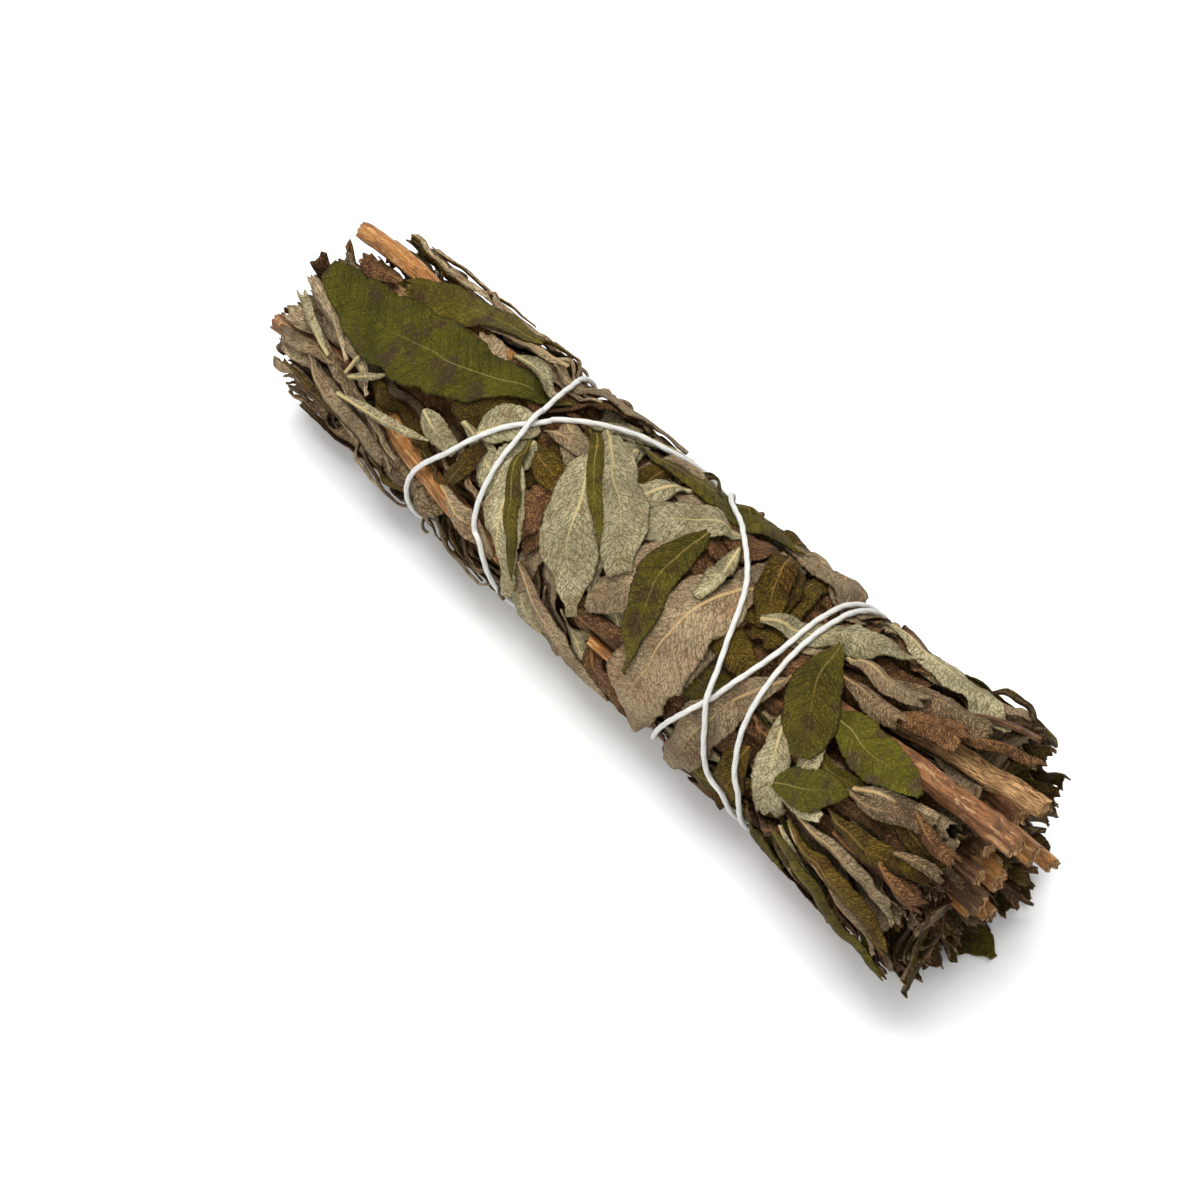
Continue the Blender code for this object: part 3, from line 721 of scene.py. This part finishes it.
def lay_rod(x, turn, depth, diameter, reach=1.15, slides=(0.0,)):
    """Puts a round rod's underside into the depth field, out to a share of its radius each way."""
    for share in np.linspace(-reach, reach, 9):
        bulge = math.sqrt(max(1 - share * share, 0.0))
        shift = np.degrees(share * diameter / 2 / radius(x))
        for slide in slides:
            field.lay(x + slide, (turn + shift) % 360, depth + diameter / 2 * bulge + GAP)


def add_string():
    """The string, and its knot on the back where the two ends cross: a small overhand turn."""
    x, turn, depth = string_path()
    path = point(x, turn, depth)
    lay_rod(x, turn, depth, STRING_DIAMETER, 1.3, (-0.6, 0.0, 0.6))
    points, faces, spots = cord_mesh(path, STRING_DIAMETER)
    angle = np.linspace(0, 3.6 * math.pi, 70)
    loop = KNOT_SIZE + 0.25 * np.cos(1.5 * angle)
    knot_x = KNOT_X + loop * np.cos(angle) * 1.15
    knot_turn = KNOT_TURN + np.degrees(loop * np.sin(angle) / radius(KNOT_X))
    knot_path = point(knot_x, knot_turn, 0.15 + 0.45 * np.cos(1.5 * angle + 0.6))
    knot_points, knot_faces, knot_spots = cord_mesh(knot_path, STRING_DIAMETER, len(points))
    piece = add_mesh(
        "binding_string_wound",
        np.concatenate([points, knot_points]),
        faces + knot_faces,
        [STRING_MATERIAL],
        np.concatenate([spots, knot_spots]),
    )
    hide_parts("binding_string")


# ---- Stems ----

STEM_STEP = 0.8
STEM_SIDES = 26
CORE_STEM = 4.2
CORE_RING = 5.3
CORE_RING_STEMS = 5
OUTER_RING = 8.7
OUTER_RING_STEM = 3.0
STEM_BEND = 0.25
# Several core stems get the dark bark: partly the stems' own colour, partly painted shade for the inside of
# the bunch where they lie.
CORE_BARKS = "orange dark dark dark dark orange orange tan orange orange red".split()
FAR_ENDS = (-77.0, -74.0, -78.0, -75.5, -79.0, -73.0)
CUT_ENDS = (76.0, 73.5, 78.0, 75.0, 72.0, 77.0)
# Surface stems: x, turn, heading, length, diameter, how far they stand proud, their bark, and the
# share of their thickness that has split away.
SURFACE_STEMS = {
    "stem_top_reddish": (62.4, 14, -1.5, 38.8, 4, 0.8, "red", 0),
    "stem_top_split": (64.6, -9.5, -6, 28.6, 4.4, -0.6, "tan", 0.6),
    "stem_near_edge": (-37, 78, 8, 36, 3.5, 0, "orange", 0),
    "stem_far_top": (-61, -24, 178, 38, 3.6, 0.6, "orange", 0),
}
# Small twigs, in the same terms. Most of them are whole.
TWIGS = {
    "twig_cut_end_1": (68.5, -18, -14, 14, 2.6, 0, "orange"),
    "twig_cut_end_2": (64.5, -30, -18, 11, 1.1, 0.3, "dark"),
    "twig_far_end_1": (-67, 12, 182, 18, 2.1, -0.6, "red", 0.3),
    "twig_far_end_2": (-72, 66, 176, 17, 3.4, -0.2, "red"),
    "twig_far_end_3": (-67, -5, 184, 16, 2, -0.6, "orange", 0.4),
    "twig_far_end_4": (-68, -40, 180, 17, 2.2, -1.4, "tan"),
}
# The one under the named leaves.
LOWER_TWIG = (10.6, 76, -2, 14, 1.7, -0.6, "orange")
# How far the torn ends reach past each other, and the rings of a cut end, from the bark inwards.
TORN = 0.8
END_RINGS = np.array((0.93, 0.78, 0.58, 0.38, 0.2, 0.06))


def stem_size(gone, angle, diameter, waves, seed):
    """A dry stem's radius: ridges along it, hollows and swollen nodes."""
    length = gone[-1, 0]
    twist = 0.012 * gone + waves.uniform(0, 6)
    shape = 1 + 0.075 * np.cos(4 * (angle + twist)) + 0.03 * np.cos(7 * angle + gone / 9 + seed)
    shape += 0.03 * np.sin(11 * angle + 0.1 * gone + 1.5 * np.sin(gone / 6))
    shape += 0.02 * np.sin(1.7 * gone + 3 * angle) * np.sin(gone / 3.1)
    shape += 0.035 * np.sin(gone / 4.3 + seed) * np.cos(angle + seed)
    node = waves.uniform(5, 14)
    while node < length:
        side = np.cos(2 * (angle + waves.uniform(0, 3)))
        shape += (0.1 + 0.1 * side) * np.exp(-(((gone - node) / 1.1) ** 2))
        shape -= 0.05 * np.exp(-(((gone - node - 1.5) / 0.5) ** 2))
        node += waves.uniform(13, 22)
    return diameter / 2 * shape * (0.95 - 0.05 * gone / length)


def split_depth(ring, offset, gone, diameter, split, outward, seed):
    """How much of each point of a stem has split away: all that stands above a fibrous flat face."""
    fibres = smooth_noise(seed + 5, 0.16, 0.5, 2.2)
    limit = diameter / 2 * (1 - 2 * split) + 0.12 * np.sin(gone * 0.9)
    limit = limit + fibres(ring @ np.array([0.3, 1.9, 0.4]) * diameter + seed)
    return np.maximum((offset * outward[:, None]).sum(-1) - limit, 0)


def stem_mesh(path, diameter, split, outward, seed):
    """A dry stem along a path, as one grid of rings: a torn end, the bark and the other torn end."""
    waves = random.Random(seed)
    along, first, second = frames_along(path)
    gone = travel(path)[:, None]
    angle = np.linspace(0, 2 * math.pi, STEM_SIDES, endpoint=False)[None, :]
    size = stem_size(gone, angle, diameter, waves, seed)
    ring = np.cos(angle)[..., None] * first[:, None] + np.sin(angle)[..., None] * second[:, None]
    offset = ring * size[..., None]
    cut = np.zeros(size.shape)
    if split:
        cut = split_depth(ring, offset, gone, diameter, split, outward, seed)
        offset = offset - cut[..., None] * outward[:, None]

    bark = path[:, None] + offset
    ends = []
    for end, sign in ((0, -1), (-1, 1)):
        # Each side of the stem ends at its own place.
        jag = smooth_noise(seed + 9 + sign, TORN * 0.5, 0.35, 1.9, 4)
        tear = jag(angle[0] * 2) + jag(np.cos(angle[0]) * 3 + 1)
        slope = waves.uniform(-0.35, 0.35) * diameter / 2 * np.cos(angle[0] + seed)
        reach = np.clip(tear * 0.5 + slope, -1.1, 1.1)
        near = np.exp(-((gone - gone[end]) ** 2) / 1.6)
        bark += (near * reach)[..., None] * along[end] * sign
        rings = []
        for share in END_RINGS:
            rough = np.array([waves.uniform(-0.22, 0.22) for _ in range(STEM_SIDES)])
            sunk = -0.35 * (1 - share) + rough + reach * share * 0.8
            rings.append(path[end] + offset[end] * share + sunk[:, None] * along[end] * sign)
        ends.append(np.array(rings))
    points = np.concatenate([ends[0][::-1], bark, ends[1]])

    radii = END_RINGS[:, None] * diameter / 2
    end_spots = np.stack([radii * np.cos(angle), radii * np.sin(angle), seed + 0 * radii * angle], -1)
    spots = np.stack([angle * diameter / 2 + 0 * gone, gone + 0 * angle, seed + 0 * size], -1)
    spots = np.concatenate([end_spots[::-1], spots, end_spots])
    shares = np.concatenate([END_RINGS[::-1], np.ones(len(path)), END_RINGS])
    shares = np.repeat(shares, STEM_SIDES)[:, None] * (1.0, 0.0, 0.0)
    faces = grid_faces(len(points), STEM_SIDES, closed=True)
    faces.append(tuple(range(STEM_SIDES))[::-1])
    faces.append(tuple(range((len(points) - 1) * STEM_SIDES, len(points) * STEM_SIDES)))
    end_faces = [1] * (len(END_RINGS) * STEM_SIDES)
    indices = end_faces + list((cut[:-1] > 0).astype(int).ravel()) + end_faces + [1, 1]
    return points.reshape(-1, 3), faces, indices, spots.reshape(-1, 3), shares


def add_stem(name, path, diameter, bark, split=0.0, outward=None, replaces=None):
    seed = sum(ord(letter) for letter in name) % 97
    points, faces, indices, spots, shares = stem_mesh(path, diameter, split, outward, seed)
    piece = add_mesh(name, points, faces, [STEM_MATERIALS[bark], CUT_WOOD], spots, shares, indices)
    if replaces:
        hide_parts(replaces)
    return piece


def surface_path(x, turn, heading, length):
    gone = np.linspace(-0.5, 0.5, max(round(length / STEM_STEP), 8)) * length
    angle = math.radians(heading)
    return x + gone * math.cos(angle), turn + np.degrees(gone * math.sin(angle) / radius(x))


def add_surface_stem(name, x, turn, heading, length, diameter, proud, bark, split=0.0, replaces=None):
    xs, turns = surface_path(x, turn, heading, length)
    cells = max(round(diameter / 2 / FIELD_STEP), 1)
    depth = field.needed(xs, turns % 360, cells)[:, None]
    depth = settled(depth, -proud, 60)[:, 0] + diameter / 2
    path = point(xs, turns, depth)
    outward = point(xs, turns, depth - 1) - path
    lay_rod(xs, turns % 360, depth, diameter)
    return add_stem(name, path, diameter, bark, split, outward, replaces)


def core_path(distance, turn, ends):
    """A stem inside the bunch, with a slight bend of its own."""
    x = np.linspace(*ends, round((ends[1] - ends[0]) / STEM_STEP))
    angle = math.radians(turn)
    spread = distance * radius(x) / radius(0.0)
    bend = STEM_BEND * np.sin(x / 21 + turn)
    y = -(spread + bend) * math.sin(angle)
    z = axis_height(x) + (spread + bend) * math.cos(angle)
    return np.stack([x, y, z], -1) + ORIGIN


def core_stems():
    """Each core stem: its CAD node, distance from the axis, turn, diameter and ends."""
    yield "stem_core_1", 0.0, 0.0, CORE_STEM, (FAR_ENDS[0], CUT_ENDS[0])
    for number in range(CORE_RING_STEMS):
        turn = 360 / CORE_RING_STEMS * number
        ends = (FAR_ENDS[number + 1], CUT_ENDS[number + 1])
        yield f"stem_core_{number + 2}", CORE_RING, turn, CORE_STEM, ends
        turn += 180 / CORE_RING_STEMS
        ends = (FAR_ENDS[-number - 1], CUT_ENDS[-number - 1])
        yield f"stem_core_{number + 2 + CORE_RING_STEMS}", OUTER_RING, turn, OUTER_RING_STEM, ends


# ---- Leaves listed one by one ----

# The outermost first: the CAD leaf it stands for, or 0, then x, turn, heading, length, width,
# sideways bow, finish, curl across in degrees (positive with the margins turned in), how far its
# tip lifts, and the share of it that is torn off. The heading is the way from its base to its
# tip, 0 along +X and 90 round towards the near side. These lie over the surface stems, and the
# named leaves after them lie under those.
LEAVES_OVER_STEMS = (
    (1, -50, 180, 0, 34, 11, 0, "dry", 0, 0, 0),
    (2, 3, 181, 180, 38, 11.5, 0, "green", 0, 0, 0),
    (3, 61, 180, 0, 32, 11.5, 0, "felt", 0, 0, 0),
    (0, -35, -14.5, -7, 9, 3.4, 0, "felt", -70, 0.6, 0.2),
    (4, -50.8, 7.8, 167.5, 50, 14.2, -5.4, "bright", 4, 0.4, 0.04),
    (21, -52, -22, 152, 24, 9.2, 0.6, "green", -16, 0.8, 0.12),
    (0, -44, -30, 166, 20, 6, 0.4, "tan", 14, 0.4, 0.2),
    (0, -42, -7, -153, 10, 4.6, 0, "tan", 30, 0.5, 0.2),
    (0, -69, 37, -157, 17, 2.9, 0.5, "beige", 60, 0.6, 0.25),
    (0, -71, 46, -159, 13, 2.6, -0.4, "felt", 60, 0.6, 0.25),
    (0, -60.5, 39, -90, 10, 1.6, 0.3, "felt", 70, 0.5, 0),
    (0, -57, 49, -39, 8.5, 1.8, 0.3, "felt", 60, 0.5, 0),
    (0, -49.5, 59.5, -14, 21.6, 2.5, 0.6, "felt", 60, 0.3, 0),
    (0, -70, 59, 168, 11.6, 3.4, 0, "tan", -70, 0.6, 0.3),
    (25, -65, 42, 204, 22, 5.2, 1, "beige", 50, 0.6, 0.25),
    (0, -60, 74, 14, 26, 4.2, 0.6, "tan", 40, 0.2, 0.2),
    (0, -62, 84, 10, 24, 4, 0.4, "olive", 40, 0.2, 0.2),
    (0, -27, 74, 20, 14, 5, 0.4, "tan", 20, 0.2, 0.2),
    (7, 42, 18, 62, 20, 9.6, 0.6, "green", 12, 0.6, 0.05),
    (5, 54.6, 21.5, 4, 23, 8, 0, "bright", 14, 0.5, 0),
    (0, -69, -4, 172, 9, 4.4, 0, "dry", 40, 0.5, 0.3),
    (0, -66, 10, 186, 10, 4, 0, "strap", 50, 0.5, 0.3),
    (0, 47.4, -7.5, -5, 15, 4.4, 0.3, "tan", 60, 0.6, 0.2),
    (0, 48.2, 3, 2, 13, 5.4, 0, "grey", 60, 0.6, 0.2),
    (0, 57, -1, -8, 14, 5.6, 0, "dry", 30, 0.4, 0.3),
    (0, 68, -14, -24, 13, 3.6, 0.3, "dry", 90, 0.4, 0.2),
    (0, 72, 32, 12, 9, 3.4, 0.5, "dry", 60, -0.6, 0.3),
    (0, 72.5, 44, -10, 8, 3, -0.5, "grey", 70, -0.8, 0.3),
    (0, 72, 55, 8, 9, 3.2, 0.4, "dry", 60, -0.6, 0.3),
    (0, 56, -14, -6, 18, 6, 0.3, "grey", 26, 0.4, 0.2),
)
NAMED_LEAVES = (
    (6, 51, 50, -31, 14, 6.8, 0, "bright", -6, 0.8, 0),
    (0, 50.7, 59, -12, 9.5, 3.4, 0, "felt", 20, 0.3, 0.1),
    (0, 47.8, 42, -81, 7, 4.4, 0, "felt", 20, 0.3, 0.1),
    (8, 36.6, -11, -33, 25, 6.4, -0.8, "felt", -10, 0.7, 0),
    (0, -11.3, 9.2, 39, 25, 3.3, 0.4, "green", 55, 0.3, 0),
    (9, 10.4, 32, 79, 27, 7, 0.6, "green", -20, 0.7, -0.06),
    (11, -7.8, 6, 38, 31, 9, 0, "felt", 6, 0.5, 0.08),
    (10, -8, 34, 54, 28, 12, 0, "felt", 6, 0.5, -0.05),
    (0, -19.5, 47, 59, 24, 3.6, 0.3, "green", 50, 0.3, 0),
    (0, -3, 92, 40, 27, 5.6, 0, "tan", 10, 0.3, 0),
    (12, -19.7, 60, 64, 24, 9.4, 0, "felt", 8, 0.5, 0),
    (0, -20.6, 3.5, -11, 8.5, 3, 0, "tan", 30, 0.3, 0.2),
    (0, -18.9, 20, 16, 9.4, 6, 0, "olive", -20, 0.4, 0.1),
    (16, 6.3, 30, 110, 21, 9, 0, "tan", 8, 0.4, 0),
    (13, 5, -5, 132, 19, 8.4, 0.5, "felt", 6, 0.4, 0),
    (0, 23, -9, 63, 16, 6, 0, "olive", -40, 0.5, 0),
    (0, 15, 2, 73, 13.5, 3.8, 0, "felt", -60, 0.4, 0.1),
    (14, 17, 54, 97, 41, 14, 1.4, "tan", 4, 0.4, 0),
    (15, 29.6, 66, 110, 36, 8.4, 0.8, "tan", 8, 0.5, 0),
    (17, 2.4, -34, -12, 33, 6.4, 0, "green", 20, 0.2, 0),
    (0, 3.2, -51, 14, 25, 4.2, 0, "green", 30, 0.2, 0),
    (18, -24, -49, -30, 26, 6.6, 0, "tan", 14, 0.4, 0.1),
    (19, 26, -43, 6, 24, 6.6, 0, "tan", 16, 0.4, 0),
    (20, 50.5, -37, 10, 30, 5.6, 0, "felt", 22, 0.3, 0.05),
    (0, 66, 10, 0, 19, 5.2, 0.3, "dry", 40, 0.3, 0.3),
    (0, 36.4, 86, 97, 20, 5.6, 0.4, "olive", 20, 0.3, 0),
    (22, 62.5, 76, 11, 25, 5.4, 0.8, "olive", 50, 0.5, 0.15),
    (23, 60.5, 95, 22, 28, 5.4, 0.8, "green", 45, 0.4, 0.15),
    (24, 65, 51, -6, 20, 4.8, 0.5, "olive", 45, 0.5, 0.15),
    (0, 55, 94, 48, 18, 3, 0, "felt", 40, 0.3, 0),
    (0, 62, 65, 1, 21, 3, 0.4, "tan", 40, 0.4, 0.1),
    (0, 63.4, 36, -15, 15, 4.2, 0.6, "grey", 50, 0.4, 0.2),
    (0, 66, 59, -4, 17, 3.8, 0.5, "dry", 50, 0.5, 0.15),
    (0, 64, 69, 6, 20, 3.2, -0.5, "felt", 60, 0.5, 0.1),
    (0, 61, 84, 20, 24, 3.4, 0.8, "tan", 55, 0.4, 0.1),
    (0, 70, 38, 7, 10, 5.2, 0, "olive", 20, 0.4, 0.3),
    (0, 63, 32, -23, 14, 3.8, 0, "tan", 40, 0.4, 0.1),
    (0, 59.5, 89, 32, 24, 3.6, 0.6, "green", 50, 0.3, 0.1),
    (0, -30.4, 18, -56, 11, 7.2, 0, "felt", 10, 0.4, 0.1),
    (0, -25, 30, 90, 11, 7.2, 0, "felt", 10, 0.3, 0.1),
    (0, -32, 49, -79, 10, 4.4, 0, "olive", 14, 0.3, 0.1),
    (0, -39, 44, 17, 9, 5, 0, "felt", 14, 0.4, 0.1),
    (26, -54, 78, 12, 40, 6.4, 0, "strap", 26, 0.2, 0.2),
    (27, -55, -52, 170, 40, 7, 0.6, "beige", 26, 0.3, 0.2),
    (28, 49, -78, 4, 34, 10, 0, "green", 14, 0.3, 0.1),
    (29, 18, -94, 158, 42, 11.5, 1, "felt", 8, 0.4, 0),
    (30, -24, -98, 22, 42, 11.5, 1, "green", 8, 0.4, 0),
    (31, -58, -98, 186, 32, 10, 0, "felt", 10, 0.4, 0.1),
    (32, 40, -135, 12, 44, 11.5, 0.8, "dry", 6, 0.2, 0),
    (33, -8, -140, 196, 44, 11.5, 0.8, "felt", 6, 0.2, 0),
    (34, -50, -146, 8, 40, 11, 0, "green", 6, 0.2, 0),
    (35, -12, 136, 174, 44, 11, 0.8, "felt", 6, 0.2, 0),
    (36, 42, 134, -8, 42, 11, 0.8, "dry", 6, 0.2, 0),
)

# ---- Leaves laid by rule ----

# Regions of smaller leaves: how many, their middles' range along x and in turn, their heading and
# its spread, ranges of length, width, curl, how far the tip lifts and the share torn off, how deep
# they may lie before they are left out as hidden, and their finishes, the likelier ones repeated.
# With a heading of 0 they lie either way round.
STRAPS_OVER_STEMS = (
    (26, (-70, -50), (56, 102), 192, 5, (16, 30), (2.6, 3.8), (40, 80), (0, 0.1), (0.3, 0.5), 1.4,
     "strap beige strap"),
    (16, (-64, -40), (-74, -38), 169, 4, (20, 34), (2.6, 4), (40, 80), (0, 0.1), (0.3, 0.5), 1.4,
     "strap beige beige"),
)
REGIONS = (
    (60, (-66, -34), (-84, -26), 169, 5, (18, 36), (2.6, 4.4), (40, 80), (0, 0.1), (0.3, 0.5), 2.2,
     "strap beige strap grey"),
    (110, (-68, -32), (50, 112), 194, 6, (16, 34), (2.6, 4.4), (40, 80), (0, 0.1), (0.3, 0.5), 3.2,
     "strap strap beige olive"),
    (56, (-70, -54), (-30, 66), 186, 13, (12, 24), (2.8, 4.6), (30, 70), (0, 0.3), (0.3, 0.5), 2.8,
     "strap beige strap olive"),
    (80, (-34, 44), (-64, 112), 70, 40, (14, 27), (5, 9), (-36, 36), (0, 0.9), (0, 0.3), 2,
     "felt tan green olive dry tan"),
    (44, (38, 66), (-66, 32), -3, 14, (12, 24), (3.2, 5.6), (30, 80), (0, 0.5), (0.1, 0.4), 2.4,
     "grey tan dry dry olive"),
    (70, (44, 66), (28, 112), 14, 10, (16, 28), (2.8, 4.6), (35, 75), (0, 0.4), (0, 0.4), 2.6,
     "green olive dry strap green"),
    (180, (-62, 62), (108, 298), 0, 26, (20, 40), (5, 10), (-16, 24), (0, 0.4), (0, 0.3), 1.8,
     "felt tan green olive dry grey"),
    (110, (-60, 60), (-70, 120), 20, 45, (14, 26), (4, 8), (10, 40), (0, 0.2), (0, 0.3), 3,
     "dry grey olive dry"),
    (80, (-60, 60), (120, 290), 0, 30, (18, 30), (4, 8), (10, 40), (0, 0.2), (0, 0.3), 3,
     "dry grey olive dry"),
)
# The two ends: name, range along x, heading and finishes. Narrow leaves, curled up and torn off
# short, fill the bunch in to its stems. The layers' rows hold how many leaves, the range of their
# length, how deep they may lie, and how much further than the outer leaves they reach.
ENDS = (
    ("far_end", (-62, -77), 180, "dry strap tan beige olive"),
    ("cut_end", (62, 77), 360, "dry grey tan dry tan strap"),
)
END_LAYERS = ((170, (10, 22), 3.6, 0.0), (120, (10, 18), 8.0, 1.0), (300, (6, 11), 11.0, 3.0))
# Where the leaves end: x, how far the cut's slant moves that towards -X, at which turn it does so
# most, and how raggedly they end. Those of the inner layers reach further, most at LONGER_TURN.
FAR_LEAF_END, FAR_SLANT, FAR_SLANT_TURN, FAR_RAGGED = -76.5, 3.2, 65, 3.0
CUT_LEAF_END, CUT_SLANT, CUT_SLANT_TURN, CUT_RAGGED = 74.8, 7.5, -58, 3.5
LONGER_TURN = 70
SECTORS = 8

bundles = {}


def keep(group, laid):
    """Puts a laid leaf in the bundle of its group and finish. Each bundle becomes one piece."""
    bundles.setdefault((group, laid[0]), []).append(laid)


def lean(turn, furthest):
    """How much of a slant there is at this turn, from 0 to 1."""
    return max(math.cos(math.radians(turn - furthest)), 0)


def shorten(leaf, longer):
    """Moves a leaf back along the bunch until it ends where the bunch was cut, or so much longer."""
    turn = leaf[1]
    half = abs(math.cos(math.radians(leaf[2]))) * leaf[3] / 2
    cut_end = CUT_LEAF_END - CUT_SLANT * lean(turn, CUT_SLANT_TURN) - rng.uniform(0, CUT_RAGGED)
    far_end = FAR_LEAF_END - FAR_SLANT * lean(turn, FAR_SLANT_TURN) + rng.uniform(0, FAR_RAGGED)
    leaf[0] = min(max(leaf[0], far_end - longer / 2 + half), cut_end + longer - half)


def sector(turn):
    """The number of the eighth of the bunch that a turn lies in."""
    return int(turn % 360 // (360 / SECTORS)) + 1


def scatter(group, row, signs=(1, 1, -1), longer=0.0, passes=6):
    """Lays a region's leaves."""
    count, xs, turns, heading, spread, lengths, widths, curls, lifts, torn, deepest, finishes = row
    for _ in range(count):
        turn = rng.uniform(*turns)
        leaf = [
            rng.uniform(*xs),
            turn,
            heading + rng.gauss(0, spread) + (180 if heading == 0 and rng.random() < 0.5 else 0),
            rng.uniform(*lengths),
            rng.uniform(*widths),
            rng.uniform(-1, 1),
            rng.choice(finishes.split()),
            rng.uniform(*curls) * rng.choice(signs),
            rng.uniform(*lifts),
            rng.uniform(*torn),
        ]
        shorten(leaf, longer * lean(turn, LONGER_TURN))
        if not hidden(leaf, deepest):
            keep(f"{group}_{sector(turn)}", lay_leaf(leaf, FEW_ACROSS, passes))


def add_named_leaves(rows, prefix):
    for number, (cad_number, *leaf) in enumerate(rows, 1):
        name = f"leaf_{cad_number:02}_blade" if cad_number else f"{prefix}_{number:02}"
        piece = add_leaves(name, [lay_leaf(leaf)])
        if cad_number:
            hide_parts(f"leaf_{cad_number:02}")


# ---- The bunch, from the outside in ----

add_string()
add_named_leaves(LEAVES_OVER_STEMS, "over_stem_leaf")
for number, row in enumerate(STRAPS_OVER_STEMS, 1):
    scatter(f"strap_{number}", row)
for cad_name, stem in SURFACE_STEMS.items():
    add_surface_stem(cad_name + "_bark", *stem, replaces=cad_name)
for name, twig in TWIGS.items():
    add_surface_stem(name, *twig)
for bark, (cad_name, distance, turn, diameter, ends) in zip(CORE_BARKS, core_stems()):
    add_stem(cad_name + "_bark", core_path(distance, turn, ends), diameter, bark, replaces=cad_name)
add_named_leaves(NAMED_LEAVES, "loose_leaf")
add_surface_stem("twig_near", *LOWER_TWIG)
for number, row in enumerate(REGIONS, 1):
    scatter(f"under_{number}", row)

for group, xs, heading, finishes in ENDS:
    for count, lengths, deepest, longer in END_LAYERS:
        ranges = (8, lengths, (2.6, 5.0), (15, 80), (-0.8, 0.5), (0.3, 0.55))
        scatter(group, (count, xs, (0, 360), heading, *ranges, deepest, finishes), (1, -1), longer, 3)

# The pressed leaves inside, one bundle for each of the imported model's, with an inner sheet that
# closes the gaps between them.
PACK_ENDS = (-66.0, 66.0)
PACK_ROWS, PACK_COLUMNS = 120, 24
SHEET_THICKNESS = 1.0
SHEET_STRETCH = 18  # mm round the bunch for each radian, as its material sees it
for number in range(SECTORS):
    middle_turn, half = 360 / SECTORS * number, 180 / SECTORS
    across = np.linspace(middle_turn - half, middle_turn + half, PACK_COLUMNS)
    xs, turns = np.meshgrid(np.linspace(*PACK_ENDS, PACK_ROWS), across, indexing="ij")
    depth = settled(field.needed(xs, turns % 360), 0.0, 3)
    ridges = 0.3 * np.sin(turns * 0.9 + 2 * np.sin(xs / 13)) + 0.2 * np.sin(turns * 2.1 + xs / 7)
    depth = np.minimum(depth + 0.3 + ridges, surface(xs, turns) - CORE_RADIUS - 0.6)
    outer, inner = point(xs, turns, depth), point(xs, turns, depth + SHEET_THICKNESS)
    points, front, back, rim = shell(outer, inner)
    spots = np.stack([np.radians(turns) * SHEET_STRETCH, xs, 0 * xs + number], -1).reshape(-1, 3)
    shares = np.stack([0 * xs, 0.3 + 0 * xs, 0 * xs], -1).reshape(-1, 3)
    piece = add_mesh(
        f"pressed_leaves_{number + 1}_sheet",
        points,
        front + back + rim,
        [LEAF_MATERIALS["dry"]],
        np.tile(spots, (2, 1)),
        np.tile(shares, (2, 1)),
    )
    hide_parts(f"pressed_leaves_{number + 1}")

for (group, finish), laid in bundles.items():
    add_leaves(f"{group}_{finish}", laid)

# ---- Camera, light and floor ----

CAMERA_TURN, CAMERA_HEIGHT = math.radians(49.0), math.radians(53.0)
CAMERA_DISTANCE = 600.0
LENS = 114.5
AXIS_HEIGHT = 18.5
# How far the point that the camera looks at lies from the middle of the bunch's axis, across the
# view and up it.
AIM_ACROSS, AIM_UP = -9.12, -2.83

right = np.array([math.cos(CAMERA_TURN), math.sin(CAMERA_TURN), 0.0])
back = np.array(
    [
        math.sin(CAMERA_TURN) * math.cos(CAMERA_HEIGHT),
        -math.cos(CAMERA_TURN) * math.cos(CAMERA_HEIGHT),
        math.sin(CAMERA_HEIGHT),
    ]
)
up = np.cross(back, right)
middle = ORIGIN + (0.0, 0.0, AXIS_HEIGHT)
aim = middle + right * AIM_ACROSS + up * AIM_UP
camera_data = bpy.data.cameras.new("camera")
camera_data.lens = LENS
camera_data.sensor_width = 36.0
camera_data.clip_start = 0.01
camera = bpy.data.objects.new("camera", camera_data)
bpy.context.scene.collection.objects.link(camera)
axes = np.stack([right, up, back, (aim + back * CAMERA_DISTANCE) * MM], -1)
camera.matrix_world = Matrix([*axes.tolist(), [0, 0, 0, 1]])
bpy.context.scene.camera = camera


def add_light(name, place, size, power):
    """A square soft light facing the bunch."""
    data = bpy.data.lights.new(name, "AREA")
    data.size = size
    data.energy = power
    light = bpy.data.objects.new(name, data)
    bpy.context.scene.collection.objects.link(light)
    light.location = place
    light.rotation_euler = (-Vector(place)).to_track_quat("-Z", "Y").to_euler()


add_light("key_light", (-0.08, 0.02, 0.85), 0.6, 9.5)
add_light("fill_light", (0.35, -0.5, 0.55), 0.6, 3.0)

world = bpy.data.worlds.new("studio")
world.use_nodes = True
world.node_tree.nodes["Background"].inputs["Color"].default_value = (1, 1, 1, 1)
world.node_tree.nodes["Background"].inputs["Strength"].default_value = 0.42
bpy.context.scene.world = world

floor_mesh = bpy.data.meshes.new("floor")
floor_mesh.from_pydata([(-2, -2, 0), (2, -2, 0), (2, 2, 0), (-2, 2, 0)], [], [(0, 1, 2, 3)])
floor = bpy.data.objects.new("floor", floor_mesh)
floor.location.z = -0.0002
bpy.context.scene.collection.objects.link(floor)
pale = Graph("pale_floor")
floor_mesh.materials.append(pale.finish((0.9, 0.9, 0.9, 1.0), 0.9, None))

bpy.context.scene.view_settings.view_transform = "Standard"
